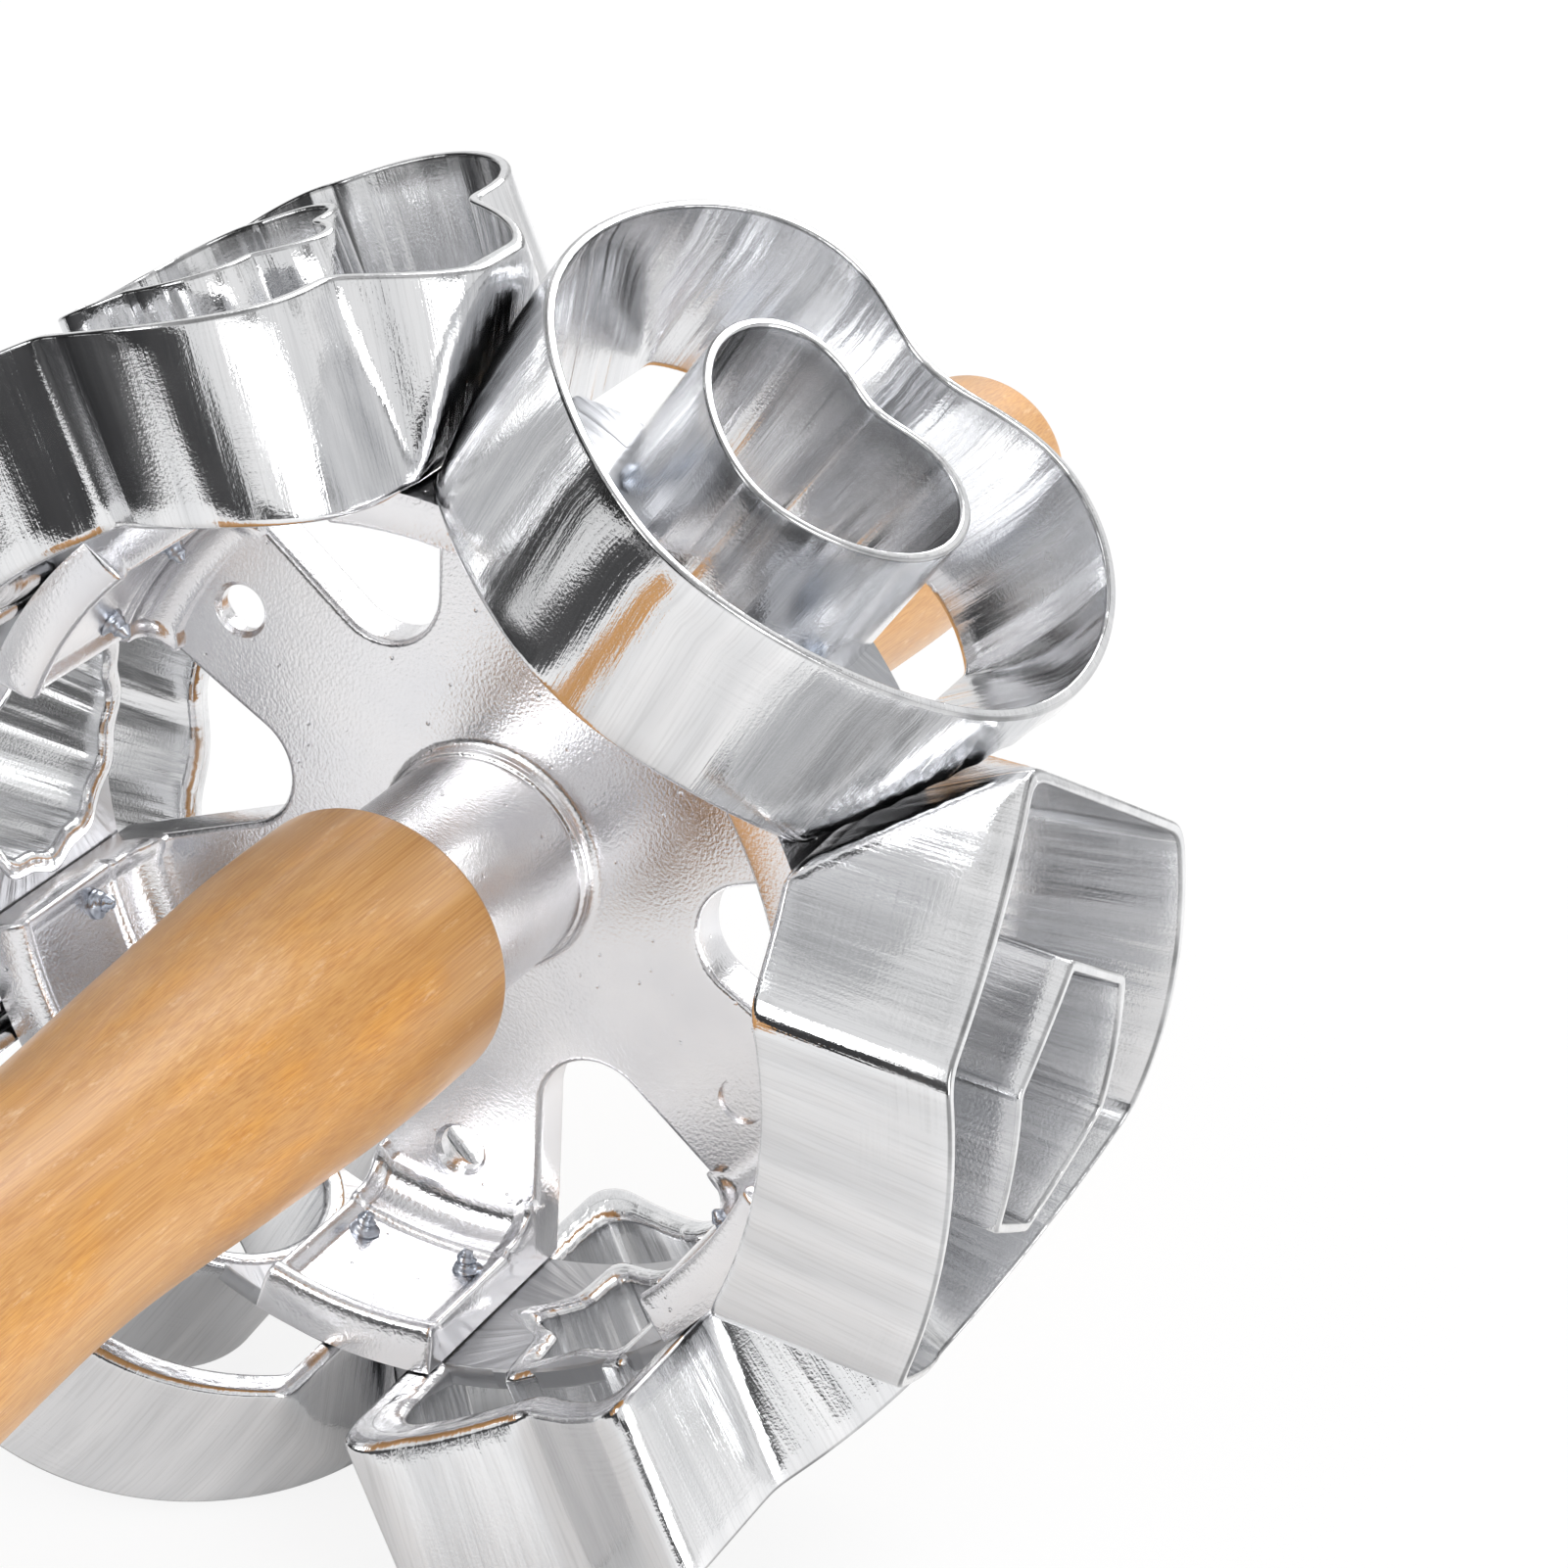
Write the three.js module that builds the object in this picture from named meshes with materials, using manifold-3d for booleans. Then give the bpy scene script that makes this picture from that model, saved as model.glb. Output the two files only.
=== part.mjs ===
// Doughnut cutter roller: six doughnut cutters round a cast spider, spinning on a rod between two handles.
// Millimetres, +Z up. The rod lies along Y, and the origin is on the table under the middle of the wheel.
import * as THREE from "three";
import { mergeVertices } from "three/addons/utils/BufferGeometryUtils.js";
import Module from "manifold-3d";

// Clearances
const SEAT_GAP = 0.3; // between faces that bear on each other
const BORE_GAP = 0.3; // round a rod or screw in its hole, on the radius
const FLANK_GAP = 2.4; // between the flat flanks of neighbouring cutters
const RECESS_GAP = 1; // round the washer in a handle's end, on the radius

// Cutters: every cutting edge lies on one cylinder round the rod, every base on a smaller one
const EDGE_RADIUS = 90;
const BASE_RADIUS = 64.4;
const EDGE_WALL = 1.5; // outer wall at the cutting edge
const BASE_WALL = 4.8; // outer wall at the base
const TUBE_EDGE_WALL = 1.4;
const TUBE_BASE_WALL = 3.6;
const FLANK_WALL = 2.4;
const FLOOR_THICKNESS = 3.2; // bar that ties the tube to the outer wall and takes the screws
const FLOOR_WIDTH = 31;

// Cutter outlines at the cutting edge, measured from each cutter's own axis
const HEX_CORNER = 44.8;
const HEX_ROUND = 3;
const HEX_TUBE_CORNER = 20.5;
const HEX_TUBE_ROUND = 1.6;
const HEART_HALF_WIDTH = 42.7;
const HEART_TIP = 41.7;
const HEART_LOBE = 43.3;
const HEART_CLEFT = 33.3;
const HEART_TUBE_HALF_WIDTH = 19.8;
const HEART_TUBE_TIP = 18.2;
const HEART_TUBE_LOBE = 19.4;
const HEART_TUBE_CLEFT = 16.1;
const FLOWER_TIP = 45;
const FLOWER_VALLEY = 36.6;
const FLOWER_TUBE_TIP = 20.4;
const FLOWER_TUBE_VALLEY = 16.8;
const SCALLOP_CREST = 45;
const SCALLOP_DEPTH = 1.5;
const SCALLOP_TUBE_CREST = 20;
const SCALLOP_TUBE_DEPTH = 1;
const SCALLOP_FLUTES = 16;
const SCALLOP_TUBE_FLUTES = 12;
const ROUND_RADIUS = 45;
const ROUND_TUBE_RADIUS = 20;
const STAR_TIP = 46.8; // where the straight sides of a point would meet
const STAR_VALLEY = 27.5;
const STAR_ROUND = 3;
const STAR_TUBE_TIP = 20.5;
const STAR_TUBE_VALLEY = 13;
const STAR_TUBE_ROUND = 1.2;

// Spider: a web plate on the far side, with the hub boss and six feet standing off its near face
const HUB_LENGTH = 36.4;
const WEB_THICKNESS = 7.2;
const BOSS_RADIUS = 15.4;
const BOSS_FILLET = 3;
const BOSS_CHAMFER = 1;
const FOOT_LENGTH = 30.3; // from the web's near face to the foot's free edge
const FOOT_WIDTH = 27.4;
const FOOT_THICKNESS = 5;
const FOOT_BEND = 6; // fillet between the web and a foot
const FOOT_LIP_RADIUS = 2.4; // rounded lip along the free edge
const FOOT_LIP_HEIGHT = 1.6;
const FOOT_RAIL_WIDTH = 2.4; // raised rails along both sides
const FOOT_RAIL_HEIGHT = 1.1;
const NOTCH_RADIUS = 8.4; // round bottom of the notch between two arms
const NOTCH_CENTRE = 40.1;
const ARM_HOLE_AT = 47.7; // from the rod's axis
const ARM_HOLE_DIAMETER = 6.8;
const ARM_HOLE_CHAMFER = 0.7;
const ARM_RECESS_DIAMETER = 14; // round recess at the back of each arm hole
const ARM_RECESS_DEPTH = 4;
const ARM_MARK_DEPTH = 0.8; // blind mark on the arms with no hole

// Cutter screws, two through each foot
const SCREW_PITCH = 18;
const SCREW_DIAMETER = 3.4;
const SCREW_HEAD_DIAMETER = 5.8;
const SCREW_HEAD_HEIGHT = 2.3;
const SCREW_POINT = 3.6; // length of the cone
const SCREW_PROUD = 3.8; // how far the point stands out of the foot

// Rod, handles and end fastenings
const ROD_DIAMETER = 8;
const ROD_CHAMFER = 0.8;
const ROD_PROUD = 1.2; // past the nut
const THRUST_WASHER_RADIUS = 13;
const THRUST_WASHER_THICKNESS = 1;
const HANDLE_LENGTH = 160;
const HANDLE_COLLAR_RADIUS = 19.9; // thick end, by the hub
const HANDLE_COLLAR_LENGTH = 12;
const HANDLE_WAIST_RADIUS = 16.2;
const HANDLE_WAIST_AT = 72; // from the hub end
const HANDLE_SWELL_RADIUS = 17.6;
const HANDLE_SWELL_FROM_END = 27;
const HANDLE_END_RADIUS = 15.5;
const HANDLE_END_ROUND = 3.2;
const HANDLE_EDGE_ROUND = 1.2; // hub end
const END_WASHER_RADIUS = 8.6;
const END_WASHER_THICKNESS = 1.4;
const NUT_ACROSS_FLATS = 13;
const NUT_HEIGHT = 6.5;
const RECESS_COVER = 1.4; // from the rod's end to the handle's end

// Facets
const ROUND_STEPS = 60; // round the wheel
const SMALL_STEPS = 12; // round holes, washers and the rod
const SCREW_STEPS = 8;
const HANDLE_STEPS = 24;
const GRIP_STEPS = 8; // along the grip
const LOBE_STEPS = 8; // along a sixth of a cutter
const TUBE_LOBE_STEPS = 5;
const FLUTE_STEPS = 4;
const CORNER_STEPS = 3;
const CURVE_STEPS = 8;

// Places that follow from those sizes
const SECTOR = Math.PI / 3;
const HUB_HALF = HUB_LENGTH / 2;
const WEB_NEAR = HUB_HALF - WEB_THICKNESS;
const FOOT_EDGE = WEB_NEAR - FOOT_LENGTH;
const FOOT_OUTER = BASE_RADIUS - SEAT_GAP;
const FOOT_INNER = FOOT_OUTER - FOOT_THICKNESS;
const SCREW_ANGLE = Math.asin(SCREW_PITCH / 2 / FOOT_OUTER);
const SCREW_SEAT = BASE_RADIUS + FLOOR_THICKNESS;
const BORE_RADIUS = ROD_DIAMETER / 2 + BORE_GAP;
const HANDLE_START = HUB_HALF + THRUST_WASHER_THICKNESS + 2 * SEAT_GAP;
const HANDLE_END = HANDLE_START + HANDLE_LENGTH;
const ROD_HALF = HANDLE_END - RECESS_COVER;
const NUT_AT = ROD_HALF - ROD_PROUD - NUT_HEIGHT;
const END_WASHER_AT = NUT_AT - SEAT_GAP - END_WASHER_THICKNESS;
const RECESS_FLOOR = END_WASHER_AT - SEAT_GAP;
const RECESS_RADIUS = END_WASHER_RADIUS + RECESS_GAP;
const CUT_REACH = EDGE_RADIUS; // cutting tools run this far, well past the wheel's sides

const castAluminium = new THREE.MeshStandardMaterial({ color: 0xb4b6b8, roughness: 0.5, metalness: 0.9 });
const polishedAluminium = new THREE.MeshStandardMaterial({ color: 0xd2d3d4, roughness: 0.2, metalness: 1 });
const zincSteel = new THREE.MeshStandardMaterial({ color: 0xaab0ba, roughness: 0.32, metalness: 0.95 });
const varnishedWood = new THREE.MeshStandardMaterial({ color: 0xd8a058, roughness: 0.35, metalness: 0 });

const wasm = await Module();
wasm.setup();

// A closed geometry as a solid that can be joined and cut.
function solid(geometry) {
  const bare = geometry.clone();
  bare.deleteAttribute("normal");
  bare.deleteAttribute("uv");
  const merged = mergeVertices(bare, 1e-4);
  return new wasm.Manifold(
    new wasm.Mesh({
      numProp: 3,
      vertProperties: merged.attributes.position.array,
      triVerts: new Uint32Array(merged.index.array),
    }),
  );
}

function geometryOf(made) {
  const { vertProperties, triVerts } = made.getMesh();
  const geometry = new THREE.BufferGeometry();
  geometry.setAttribute("position", new THREE.BufferAttribute(vertProperties, 3));
  geometry.setIndex(new THREE.BufferAttribute(triVerts, 1));
  geometry.computeVertexNormals();
  return geometry;
}

function piece(name, geometry, material) {
  const mesh = new THREE.Mesh(geometry, material);
  mesh.name = name;
  return mesh;
}

const at = (radius, angle) => new THREE.Vector2(radius * Math.cos(angle), radius * Math.sin(angle));

// Points of an arc in a lathe profile, in which x is the radius and y lies along the rod.
function arc(centreX, centreY, radius, from, to) {
  const curve = new THREE.EllipseCurve(centreX, centreY, radius, radius, from, to, to < from);
  return curve.getPoints(CORNER_STEPS);
}

const point = (radius, along) => new THREE.Vector2(radius, along);

// Turned ring or solid of revolution round the rod's axis. A ring's profile runs anticlockwise.
function turned(profile, steps) {
  return new THREE.LatheGeometry(profile, steps);
}

function ringProfile(inner, outer, from, to) {
  return [point(inner, from), point(outer, from), point(outer, to), point(inner, to), point(inner, from)];
}

function discProfile(radius, from, to) {
  return [point(0, from), point(radius, from), point(radius, to), point(0, to)];
}

// A flat outline in the XZ plane, carried along Y.
function slab(shape, from, to, steps = CURVE_STEPS) {
  const settings = { depth: to - from, bevelEnabled: false, curveSegments: steps };
  const geometry = new THREE.ExtrudeGeometry(shape, settings);
  return geometry.rotateX(Math.PI / 2).translate(0, to, 0);
}

// Cutter outlines. Each takes the inset of a wall and gives the outline that lies that far inside.
// x runs round the wheel and y along the rod, and insets of one outline share their number of points.
function polar(steps, radiusAt) {
  return Array.from({ length: steps }, (_, i) => {
    const angle = (i / steps) * 2 * Math.PI;
    return at(radiusAt(angle), angle);
  });
}

const roundOutline = (radius, steps) => (inset) => polar(6 * steps, () => radius - inset);

const scallopOutline = (crest, depth, flutes) => (inset) =>
  polar(flutes * FLUTE_STEPS, (a) => crest - inset - (depth / 2) * (1 - Math.cos(flutes * a)));

// Six broad lobes that meet in narrow valleys.
const flowerOutline = (tip, valley, steps) => (inset) =>
  polar(6 * steps, (a) => valley - inset + (tip - valley) * Math.abs(Math.cos(3 * a)) ** 0.8);

// Star of six straight-sided points with rounded tips, two of them pointing round the wheel.
const starOutline = (tip, valley, round) => (inset) => {
  const halfPoint = Math.atan2(valley * Math.sin(SECTOR / 2), tip - valley * Math.cos(SECTOR / 2));
  const centre = tip - (inset + round) / Math.sin(halfPoint);
  const innerValley = valley - inset / Math.sin(halfPoint + SECTOR / 2);
  const turn = Math.PI / 2 - halfPoint;
  return Array.from({ length: 6 }, (_, side) => {
    const middle = at(centre, side * SECTOR);
    const fillet = arc(middle.x, middle.y, round, side * SECTOR - turn, side * SECTOR + turn);
    return [...fillet, at(innerValley, (side + 0.5) * SECTOR)];
  }).flat();
};

// Hexagon with rounded corners, two of them pointing round the wheel.
const hexOutline = (corner, round) => (inset) => {
  const centre = corner - (inset + round) / Math.cos(SECTOR / 2);
  return Array.from({ length: 6 }, (_, side) => {
    const middle = at(centre, side * SECTOR);
    return arc(middle.x, middle.y, round, (side - 0.5) * SECTOR, (side + 0.5) * SECTOR);
  }).flat();
};

// Heart with its tip towards the near side and its cleft towards the far side.
const heartOutline = (halfWidth, tip, lobe, cleft) => (inset) => {
  const w = halfWidth - inset;
  const t = tip - inset;
  const l = lobe - inset;
  const c = cleft - inset;
  const shoulder = 0.42 * l; // widest place
  const half = (side) => [
    new THREE.CubicBezierCurve(
      point(0, -t),
      point(side * 0.42 * w, -t),
      point(side * w, -0.24 * t),
      point(side * w, shoulder),
    ),
    new THREE.CubicBezierCurve(
      point(side * w, shoulder),
      point(side * w, 0.79 * l),
      point(side * 0.82 * w, l),
      point(side * 0.56 * w, l),
    ),
    new THREE.CubicBezierCurve(
      point(side * 0.56 * w, l),
      point(side * 0.31 * w, l),
      point(side * 0.16 * w, c),
      point(0, c),
    ),
  ];
  const steps = [CURVE_STEPS, CURVE_STEPS / 2, CURVE_STEPS / 2];
  const walk = (side) => half(side).flatMap((curve, i) => curve.getPoints(steps[i]).slice(0, -1));
  const up = walk(1);
  const down = walk(-1).slice(1).reverse();
  return [...up, point(0, c), ...down];
};

// Straight prism on an outline, standing on the rod's axis and pointing along +X.
function prism(outline) {
  const settings = { depth: EDGE_RADIUS + FLOOR_THICKNESS, bevelEnabled: false };
  return new THREE.ExtrudeGeometry(new THREE.Shape(outline), settings).rotateY(Math.PI / 2);
}

// Core of a hollow that narrows from the edge cylinder to the base cylinder, run on past both.
function draftedCore(outlineAt, edgeWall, baseWall) {
  const overrun = 0.5;
  const draft = baseWall - edgeWall;
  const loops = [
    { outline: outlineAt(baseWall + overrun * draft), share: -overrun },
    { outline: outlineAt(edgeWall - overrun * draft), share: 1 + overrun },
  ];
  const count = loops[0].outline.length;
  const positions = loops.flatMap(({ outline, share }) =>
    outline.flatMap(({ x, y }) => {
      const base = Math.sqrt(BASE_RADIUS ** 2 - x ** 2);
      const edge = Math.sqrt(EDGE_RADIUS ** 2 - x ** 2);
      return [x, y, THREE.MathUtils.lerp(base, edge, share)];
    }),
  );
  const cap = THREE.ShapeUtils.triangulateShape(loops[0].outline, []);
  const floor = cap.flatMap(([a, b, c]) => [a, c, b]);
  const roof = cap.flatMap(([a, b, c]) => [a + count, b + count, c + count]);
  const wall = loops[0].outline.flatMap((_, i) => {
    const next = (i + 1) % count;
    return [i, next, next + count, i, next + count, i + count];
  });
  const core = new THREE.BufferGeometry();
  core.setAttribute("position", new THREE.Float32BufferAttribute(positions, 3));
  core.setIndex([...floor, ...roof, ...wall]);
  return core.rotateY(Math.PI / 2);
}

// The sector of the wheel that one cutter may fill, drawn in from the planes to its neighbours.
function sector(drawnIn) {
  const apex = drawnIn / Math.sin(SECTOR / 2);
  const reach = 2 * EDGE_RADIUS;
  const half = (reach - apex) * Math.tan(SECTOR / 2);
  const shape = new THREE.Shape([point(apex, 0), point(reach, -half), point(reach, half)]);
  return solid(slab(shape, -CUT_REACH, CUT_REACH));
}

// A straight round tool along +X, placed on a cutter screw's line at an angle from +X.
function screwTool(radius, from, to, angle) {
  return solid(turned(discProfile(radius, from, to), SCREW_STEPS).rotateZ(-Math.PI / 2).rotateY(-angle));
}

// One cutter pointing along +X: outer wall with flat flanks, floor bar, inner tube and screw seats.
function cutter(outerAt, tubeAt) {
  const depthRing = solid(turned(ringProfile(BASE_RADIUS, EDGE_RADIUS, -CUT_REACH, CUT_REACH), ROUND_STEPS));
  const floorRing = turned(
    ringProfile(BASE_RADIUS, BASE_RADIUS + FLOOR_THICKNESS, -FLOOR_WIDTH / 2, FLOOR_WIDTH / 2),
    ROUND_STEPS,
  );
  const block = solid(prism(outerAt(0))).intersect(sector(FLANK_GAP / 2));
  const hollow = solid(draftedCore(outerAt, EDGE_WALL, BASE_WALL));
  const shell = block.subtract(hollow.intersect(sector(FLANK_GAP / 2 + FLANK_WALL)));
  const floor = block.intersect(solid(floorRing));
  const tube = solid(prism(tubeAt(0)));
  const bore = solid(draftedCore(tubeAt, TUBE_EDGE_WALL, TUBE_BASE_WALL));
  let made = shell.add(tube).intersect(depthRing).add(floor).subtract(bore);
  for (const side of [-1, 1]) {
    const angle = side * (SECTOR / 2 - SCREW_ANGLE);
    const hole = screwTool(SCREW_DIAMETER / 2 + BORE_GAP, FOOT_INNER, SCREW_SEAT, angle);
    const seatTop = SCREW_SEAT + 2 * SCREW_HEAD_HEIGHT;
    const seat = screwTool(SCREW_HEAD_DIAMETER / 2 + SEAT_GAP, SCREW_SEAT, seatTop, angle);
    made = made.subtract(hole).subtract(seat);
  }
  return geometryOf(made);
}

// Front outline of the spider: six arms that run on past the feet, and round-bottomed notches between them.
function spiderOutline(armWidth) {
  const shape = new THREE.Shape();
  const halfArm = Math.asin(armWidth / 2 / FOOT_OUTER);
  const corner = at(FOOT_OUTER, halfArm - SECTOR / 2); // seen from the middle line of the notch
  const toCorner = new THREE.Vector2(corner.x - NOTCH_CENTRE, corner.y);
  const tangent = toCorner.angle() - 2 * Math.PI - Math.acos(NOTCH_RADIUS / toCorner.length());
  for (let arm = 0; arm < 6; arm++) {
    const armAngle = (arm + 0.5) * SECTOR;
    const notchAngle = armAngle + SECTOR / 2;
    const notch = at(NOTCH_CENTRE, notchAngle);
    const sides = [at(FOOT_OUTER, armAngle - halfArm), at(FOOT_OUTER, armAngle + halfArm)];
    const overrun = at(FOOT_THICKNESS, armAngle);
    const ends = sides.map((side) => side.clone().add(overrun));
    const corners = [sides[0], ends[0], ends[1], sides[1]];
    corners.forEach(({ x, y }, i) => (arm + i === 0 ? shape.moveTo(x, y) : shape.lineTo(x, y)));
    shape.absarc(notch.x, notch.y, NOTCH_RADIUS, notchAngle + tangent, notchAngle - tangent, true);
  }
  shape.closePath();
  return shape;
}

// Section of a foot, turned round the rod's axis: plate, bend into the web and lip on the free edge.
function footProfile() {
  const outer = FOOT_OUTER + FOOT_THICKNESS;
  const bendFrom = FOOT_INNER - FOOT_BEND;
  const lipCentre = FOOT_INNER - FOOT_LIP_HEIGHT + FOOT_LIP_RADIUS;
  const lipStart = Math.acos((FOOT_INNER - lipCentre) / FOOT_LIP_RADIUS);
  const profile = [
    point(outer, FOOT_EDGE),
    point(outer, HUB_HALF),
    point(bendFrom, HUB_HALF),
    ...arc(bendFrom, WEB_NEAR - FOOT_BEND, FOOT_BEND, Math.PI / 2, 0),
    ...arc(lipCentre, FOOT_EDGE + FOOT_LIP_RADIUS, FOOT_LIP_RADIUS, lipStart, 1.5 * Math.PI),
  ];
  return [...profile, profile[0]];
}

function bossProfile() {
  const root = BOSS_RADIUS + BOSS_FILLET;
  return [
    point(0, -HUB_HALF),
    point(BOSS_RADIUS - BOSS_CHAMFER, -HUB_HALF),
    point(BOSS_RADIUS, BOSS_CHAMFER - HUB_HALF),
    ...arc(root, WEB_NEAR - BOSS_FILLET, BOSS_FILLET, Math.PI, Math.PI / 2),
    point(root, HUB_HALF),
    point(0, HUB_HALF),
  ];
}

// Tool for one arm: a chamfered hole with a recess behind it, or only a shallow round mark.
function armTool(through) {
  const radius = ARM_HOLE_DIAMETER / 2;
  const mark = discProfile(radius, WEB_NEAR - CUT_REACH, WEB_NEAR + ARM_MARK_DEPTH);
  const hole = [
    point(0, WEB_NEAR - 2 * ARM_HOLE_CHAMFER),
    point(radius + 3 * ARM_HOLE_CHAMFER, WEB_NEAR - 2 * ARM_HOLE_CHAMFER),
    point(radius, WEB_NEAR + ARM_HOLE_CHAMFER),
    point(radius, HUB_HALF - ARM_RECESS_DEPTH),
    point(ARM_RECESS_DIAMETER / 2, HUB_HALF - ARM_RECESS_DEPTH),
    point(ARM_RECESS_DIAMETER / 2, HUB_HALF + CUT_REACH),
    point(0, HUB_HALF + CUT_REACH),
  ];
  return turned(through ? hole : mark, SMALL_STEPS).translate(ARM_HOLE_AT, 0, 0);
}

function spider() {
  const web = solid(slab(spiderOutline(FOOT_WIDTH), WEB_NEAR, HUB_HALF));
  const whole = solid(slab(spiderOutline(FOOT_WIDTH), FOOT_EDGE, HUB_HALF));
  const betweenRails = solid(slab(spiderOutline(FOOT_WIDTH - 2 * FOOT_RAIL_WIDTH), FOOT_EDGE, HUB_HALF));
  const feet = solid(turned(footProfile(), ROUND_STEPS)).intersect(whole);
  const railTop = FOOT_INNER - FOOT_RAIL_HEIGHT;
  const railRing = turned(ringProfile(railTop, FOOT_OUTER + FOOT_THICKNESS, FOOT_EDGE, WEB_NEAR), ROUND_STEPS);
  const rails = solid(railRing).intersect(whole.subtract(betweenRails));
  const boss = solid(turned(bossProfile(), HANDLE_STEPS));
  const bore = solid(turned(discProfile(BORE_RADIUS, -CUT_REACH, CUT_REACH), SMALL_STEPS));
  const rim = solid(turned(discProfile(FOOT_OUTER, -CUT_REACH, CUT_REACH), ROUND_STEPS));
  let made = web.add(feet).add(rails).intersect(rim).add(boss).subtract(bore);
  for (let arm = 0; arm < 6; arm++) {
    const armAngle = (arm + 0.5) * SECTOR;
    made = made.subtract(solid(armTool(arm % 2 === 0).rotateY(-armAngle)));
    for (const side of [-1, 1]) {
      const screwAngle = armAngle + side * SCREW_ANGLE;
      made = made.subtract(screwTool(SCREW_DIAMETER / 2 + BORE_GAP, NOTCH_CENTRE, EDGE_RADIUS, screwAngle));
    }
  }
  return geometryOf(made);
}

// Pan-head screw along +X with its point towards the rod, at its distance from the rod's axis.
function cutterScrew() {
  const underHead = SCREW_SEAT + SEAT_GAP;
  const tip = FOOT_INNER - SCREW_PROUD;
  const radius = SCREW_DIAMETER / 2;
  const headRadius = SCREW_HEAD_DIAMETER / 2;
  const dome = new THREE.EllipseCurve(0, underHead, headRadius, SCREW_HEAD_HEIGHT, 0, Math.PI / 2);
  const profile = [
    point(0, tip),
    point(radius, tip + SCREW_POINT),
    point(radius, underHead),
    ...dome.getPoints(CORNER_STEPS).slice(0, -1),
    point(0, underHead + SCREW_HEAD_HEIGHT),
  ];
  return turned(profile, SCREW_STEPS).rotateZ(-Math.PI / 2);
}

// Turned handle on the +Y side: thick collar, waist and swell, bored for the rod, recessed at its end.
function handle() {
  const grip = new THREE.SplineCurve([
    point(HANDLE_COLLAR_RADIUS, HANDLE_START + HANDLE_COLLAR_LENGTH),
    point((HANDLE_COLLAR_RADIUS + HANDLE_WAIST_RADIUS) / 2, HANDLE_START + 0.63 * HANDLE_WAIST_AT),
    point(HANDLE_WAIST_RADIUS, HANDLE_START + HANDLE_WAIST_AT),
    point(HANDLE_SWELL_RADIUS, HANDLE_END - HANDLE_SWELL_FROM_END),
    point(HANDLE_END_RADIUS, HANDLE_END - HANDLE_END_ROUND),
  ]);
  const collarRound = HANDLE_START + HANDLE_EDGE_ROUND;
  const endRound = HANDLE_END - HANDLE_END_ROUND;
  const profile = [
    point(BORE_RADIUS, HANDLE_START),
    ...arc(HANDLE_COLLAR_RADIUS - HANDLE_EDGE_ROUND, collarRound, HANDLE_EDGE_ROUND, -Math.PI / 2, 0),
    ...grip.getPoints(GRIP_STEPS).slice(0, -1),
    ...arc(HANDLE_END_RADIUS - HANDLE_END_ROUND, endRound, HANDLE_END_ROUND, 0, Math.PI / 2),
    point(RECESS_RADIUS, HANDLE_END),
    point(RECESS_RADIUS, RECESS_FLOOR),
    point(BORE_RADIUS, RECESS_FLOOR),
    point(BORE_RADIUS, HANDLE_START),
  ];
  return turned(profile, HANDLE_STEPS);
}

function rod() {
  const radius = ROD_DIAMETER / 2;
  const profile = [
    point(0, -ROD_HALF),
    point(radius - ROD_CHAMFER, -ROD_HALF),
    point(radius, ROD_CHAMFER - ROD_HALF),
    point(radius, ROD_HALF - ROD_CHAMFER),
    point(radius - ROD_CHAMFER, ROD_HALF),
    point(0, ROD_HALF),
  ];
  return turned(profile, SMALL_STEPS);
}

function washer(radius, from, thickness) {
  return turned(ringProfile(BORE_RADIUS, radius, from, from + thickness), SMALL_STEPS);
}

function nut() {
  const corner = NUT_ACROSS_FLATS / 2 / Math.cos(SECTOR / 2);
  const shape = new THREE.Shape(Array.from({ length: 6 }, (_, i) => at(corner, i * SECTOR)));
  shape.holes.push(new THREE.Path().absarc(0, 0, BORE_RADIUS, 0, 2 * Math.PI, true));
  return slab(shape, NUT_AT, NUT_AT + NUT_HEIGHT);
}

// The wheel: cutters in their order round it, from the one that points along +X towards +Z
const cutters = [
  {
    name: "cutter_hexagon",
    outer: hexOutline(HEX_CORNER, HEX_ROUND),
    tube: hexOutline(HEX_TUBE_CORNER, HEX_TUBE_ROUND),
  },
  {
    name: "cutter_heart",
    outer: heartOutline(HEART_HALF_WIDTH, HEART_TIP, HEART_LOBE, HEART_CLEFT),
    tube: heartOutline(HEART_TUBE_HALF_WIDTH, HEART_TUBE_TIP, HEART_TUBE_LOBE, HEART_TUBE_CLEFT),
  },
  {
    name: "cutter_flower",
    outer: flowerOutline(FLOWER_TIP, FLOWER_VALLEY, LOBE_STEPS),
    tube: flowerOutline(FLOWER_TUBE_TIP, FLOWER_TUBE_VALLEY, TUBE_LOBE_STEPS),
  },
  {
    name: "cutter_scalloped",
    outer: scallopOutline(SCALLOP_CREST, SCALLOP_DEPTH, SCALLOP_FLUTES),
    tube: scallopOutline(SCALLOP_TUBE_CREST, SCALLOP_TUBE_DEPTH, SCALLOP_TUBE_FLUTES),
  },
  {
    name: "cutter_round",
    outer: roundOutline(ROUND_RADIUS, LOBE_STEPS),
    tube: roundOutline(ROUND_TUBE_RADIUS, TUBE_LOBE_STEPS),
  },
  {
    name: "cutter_star",
    outer: starOutline(STAR_TIP, STAR_VALLEY, STAR_ROUND),
    tube: starOutline(STAR_TUBE_TIP, STAR_TUBE_VALLEY, STAR_TUBE_ROUND),
  },
];

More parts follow.
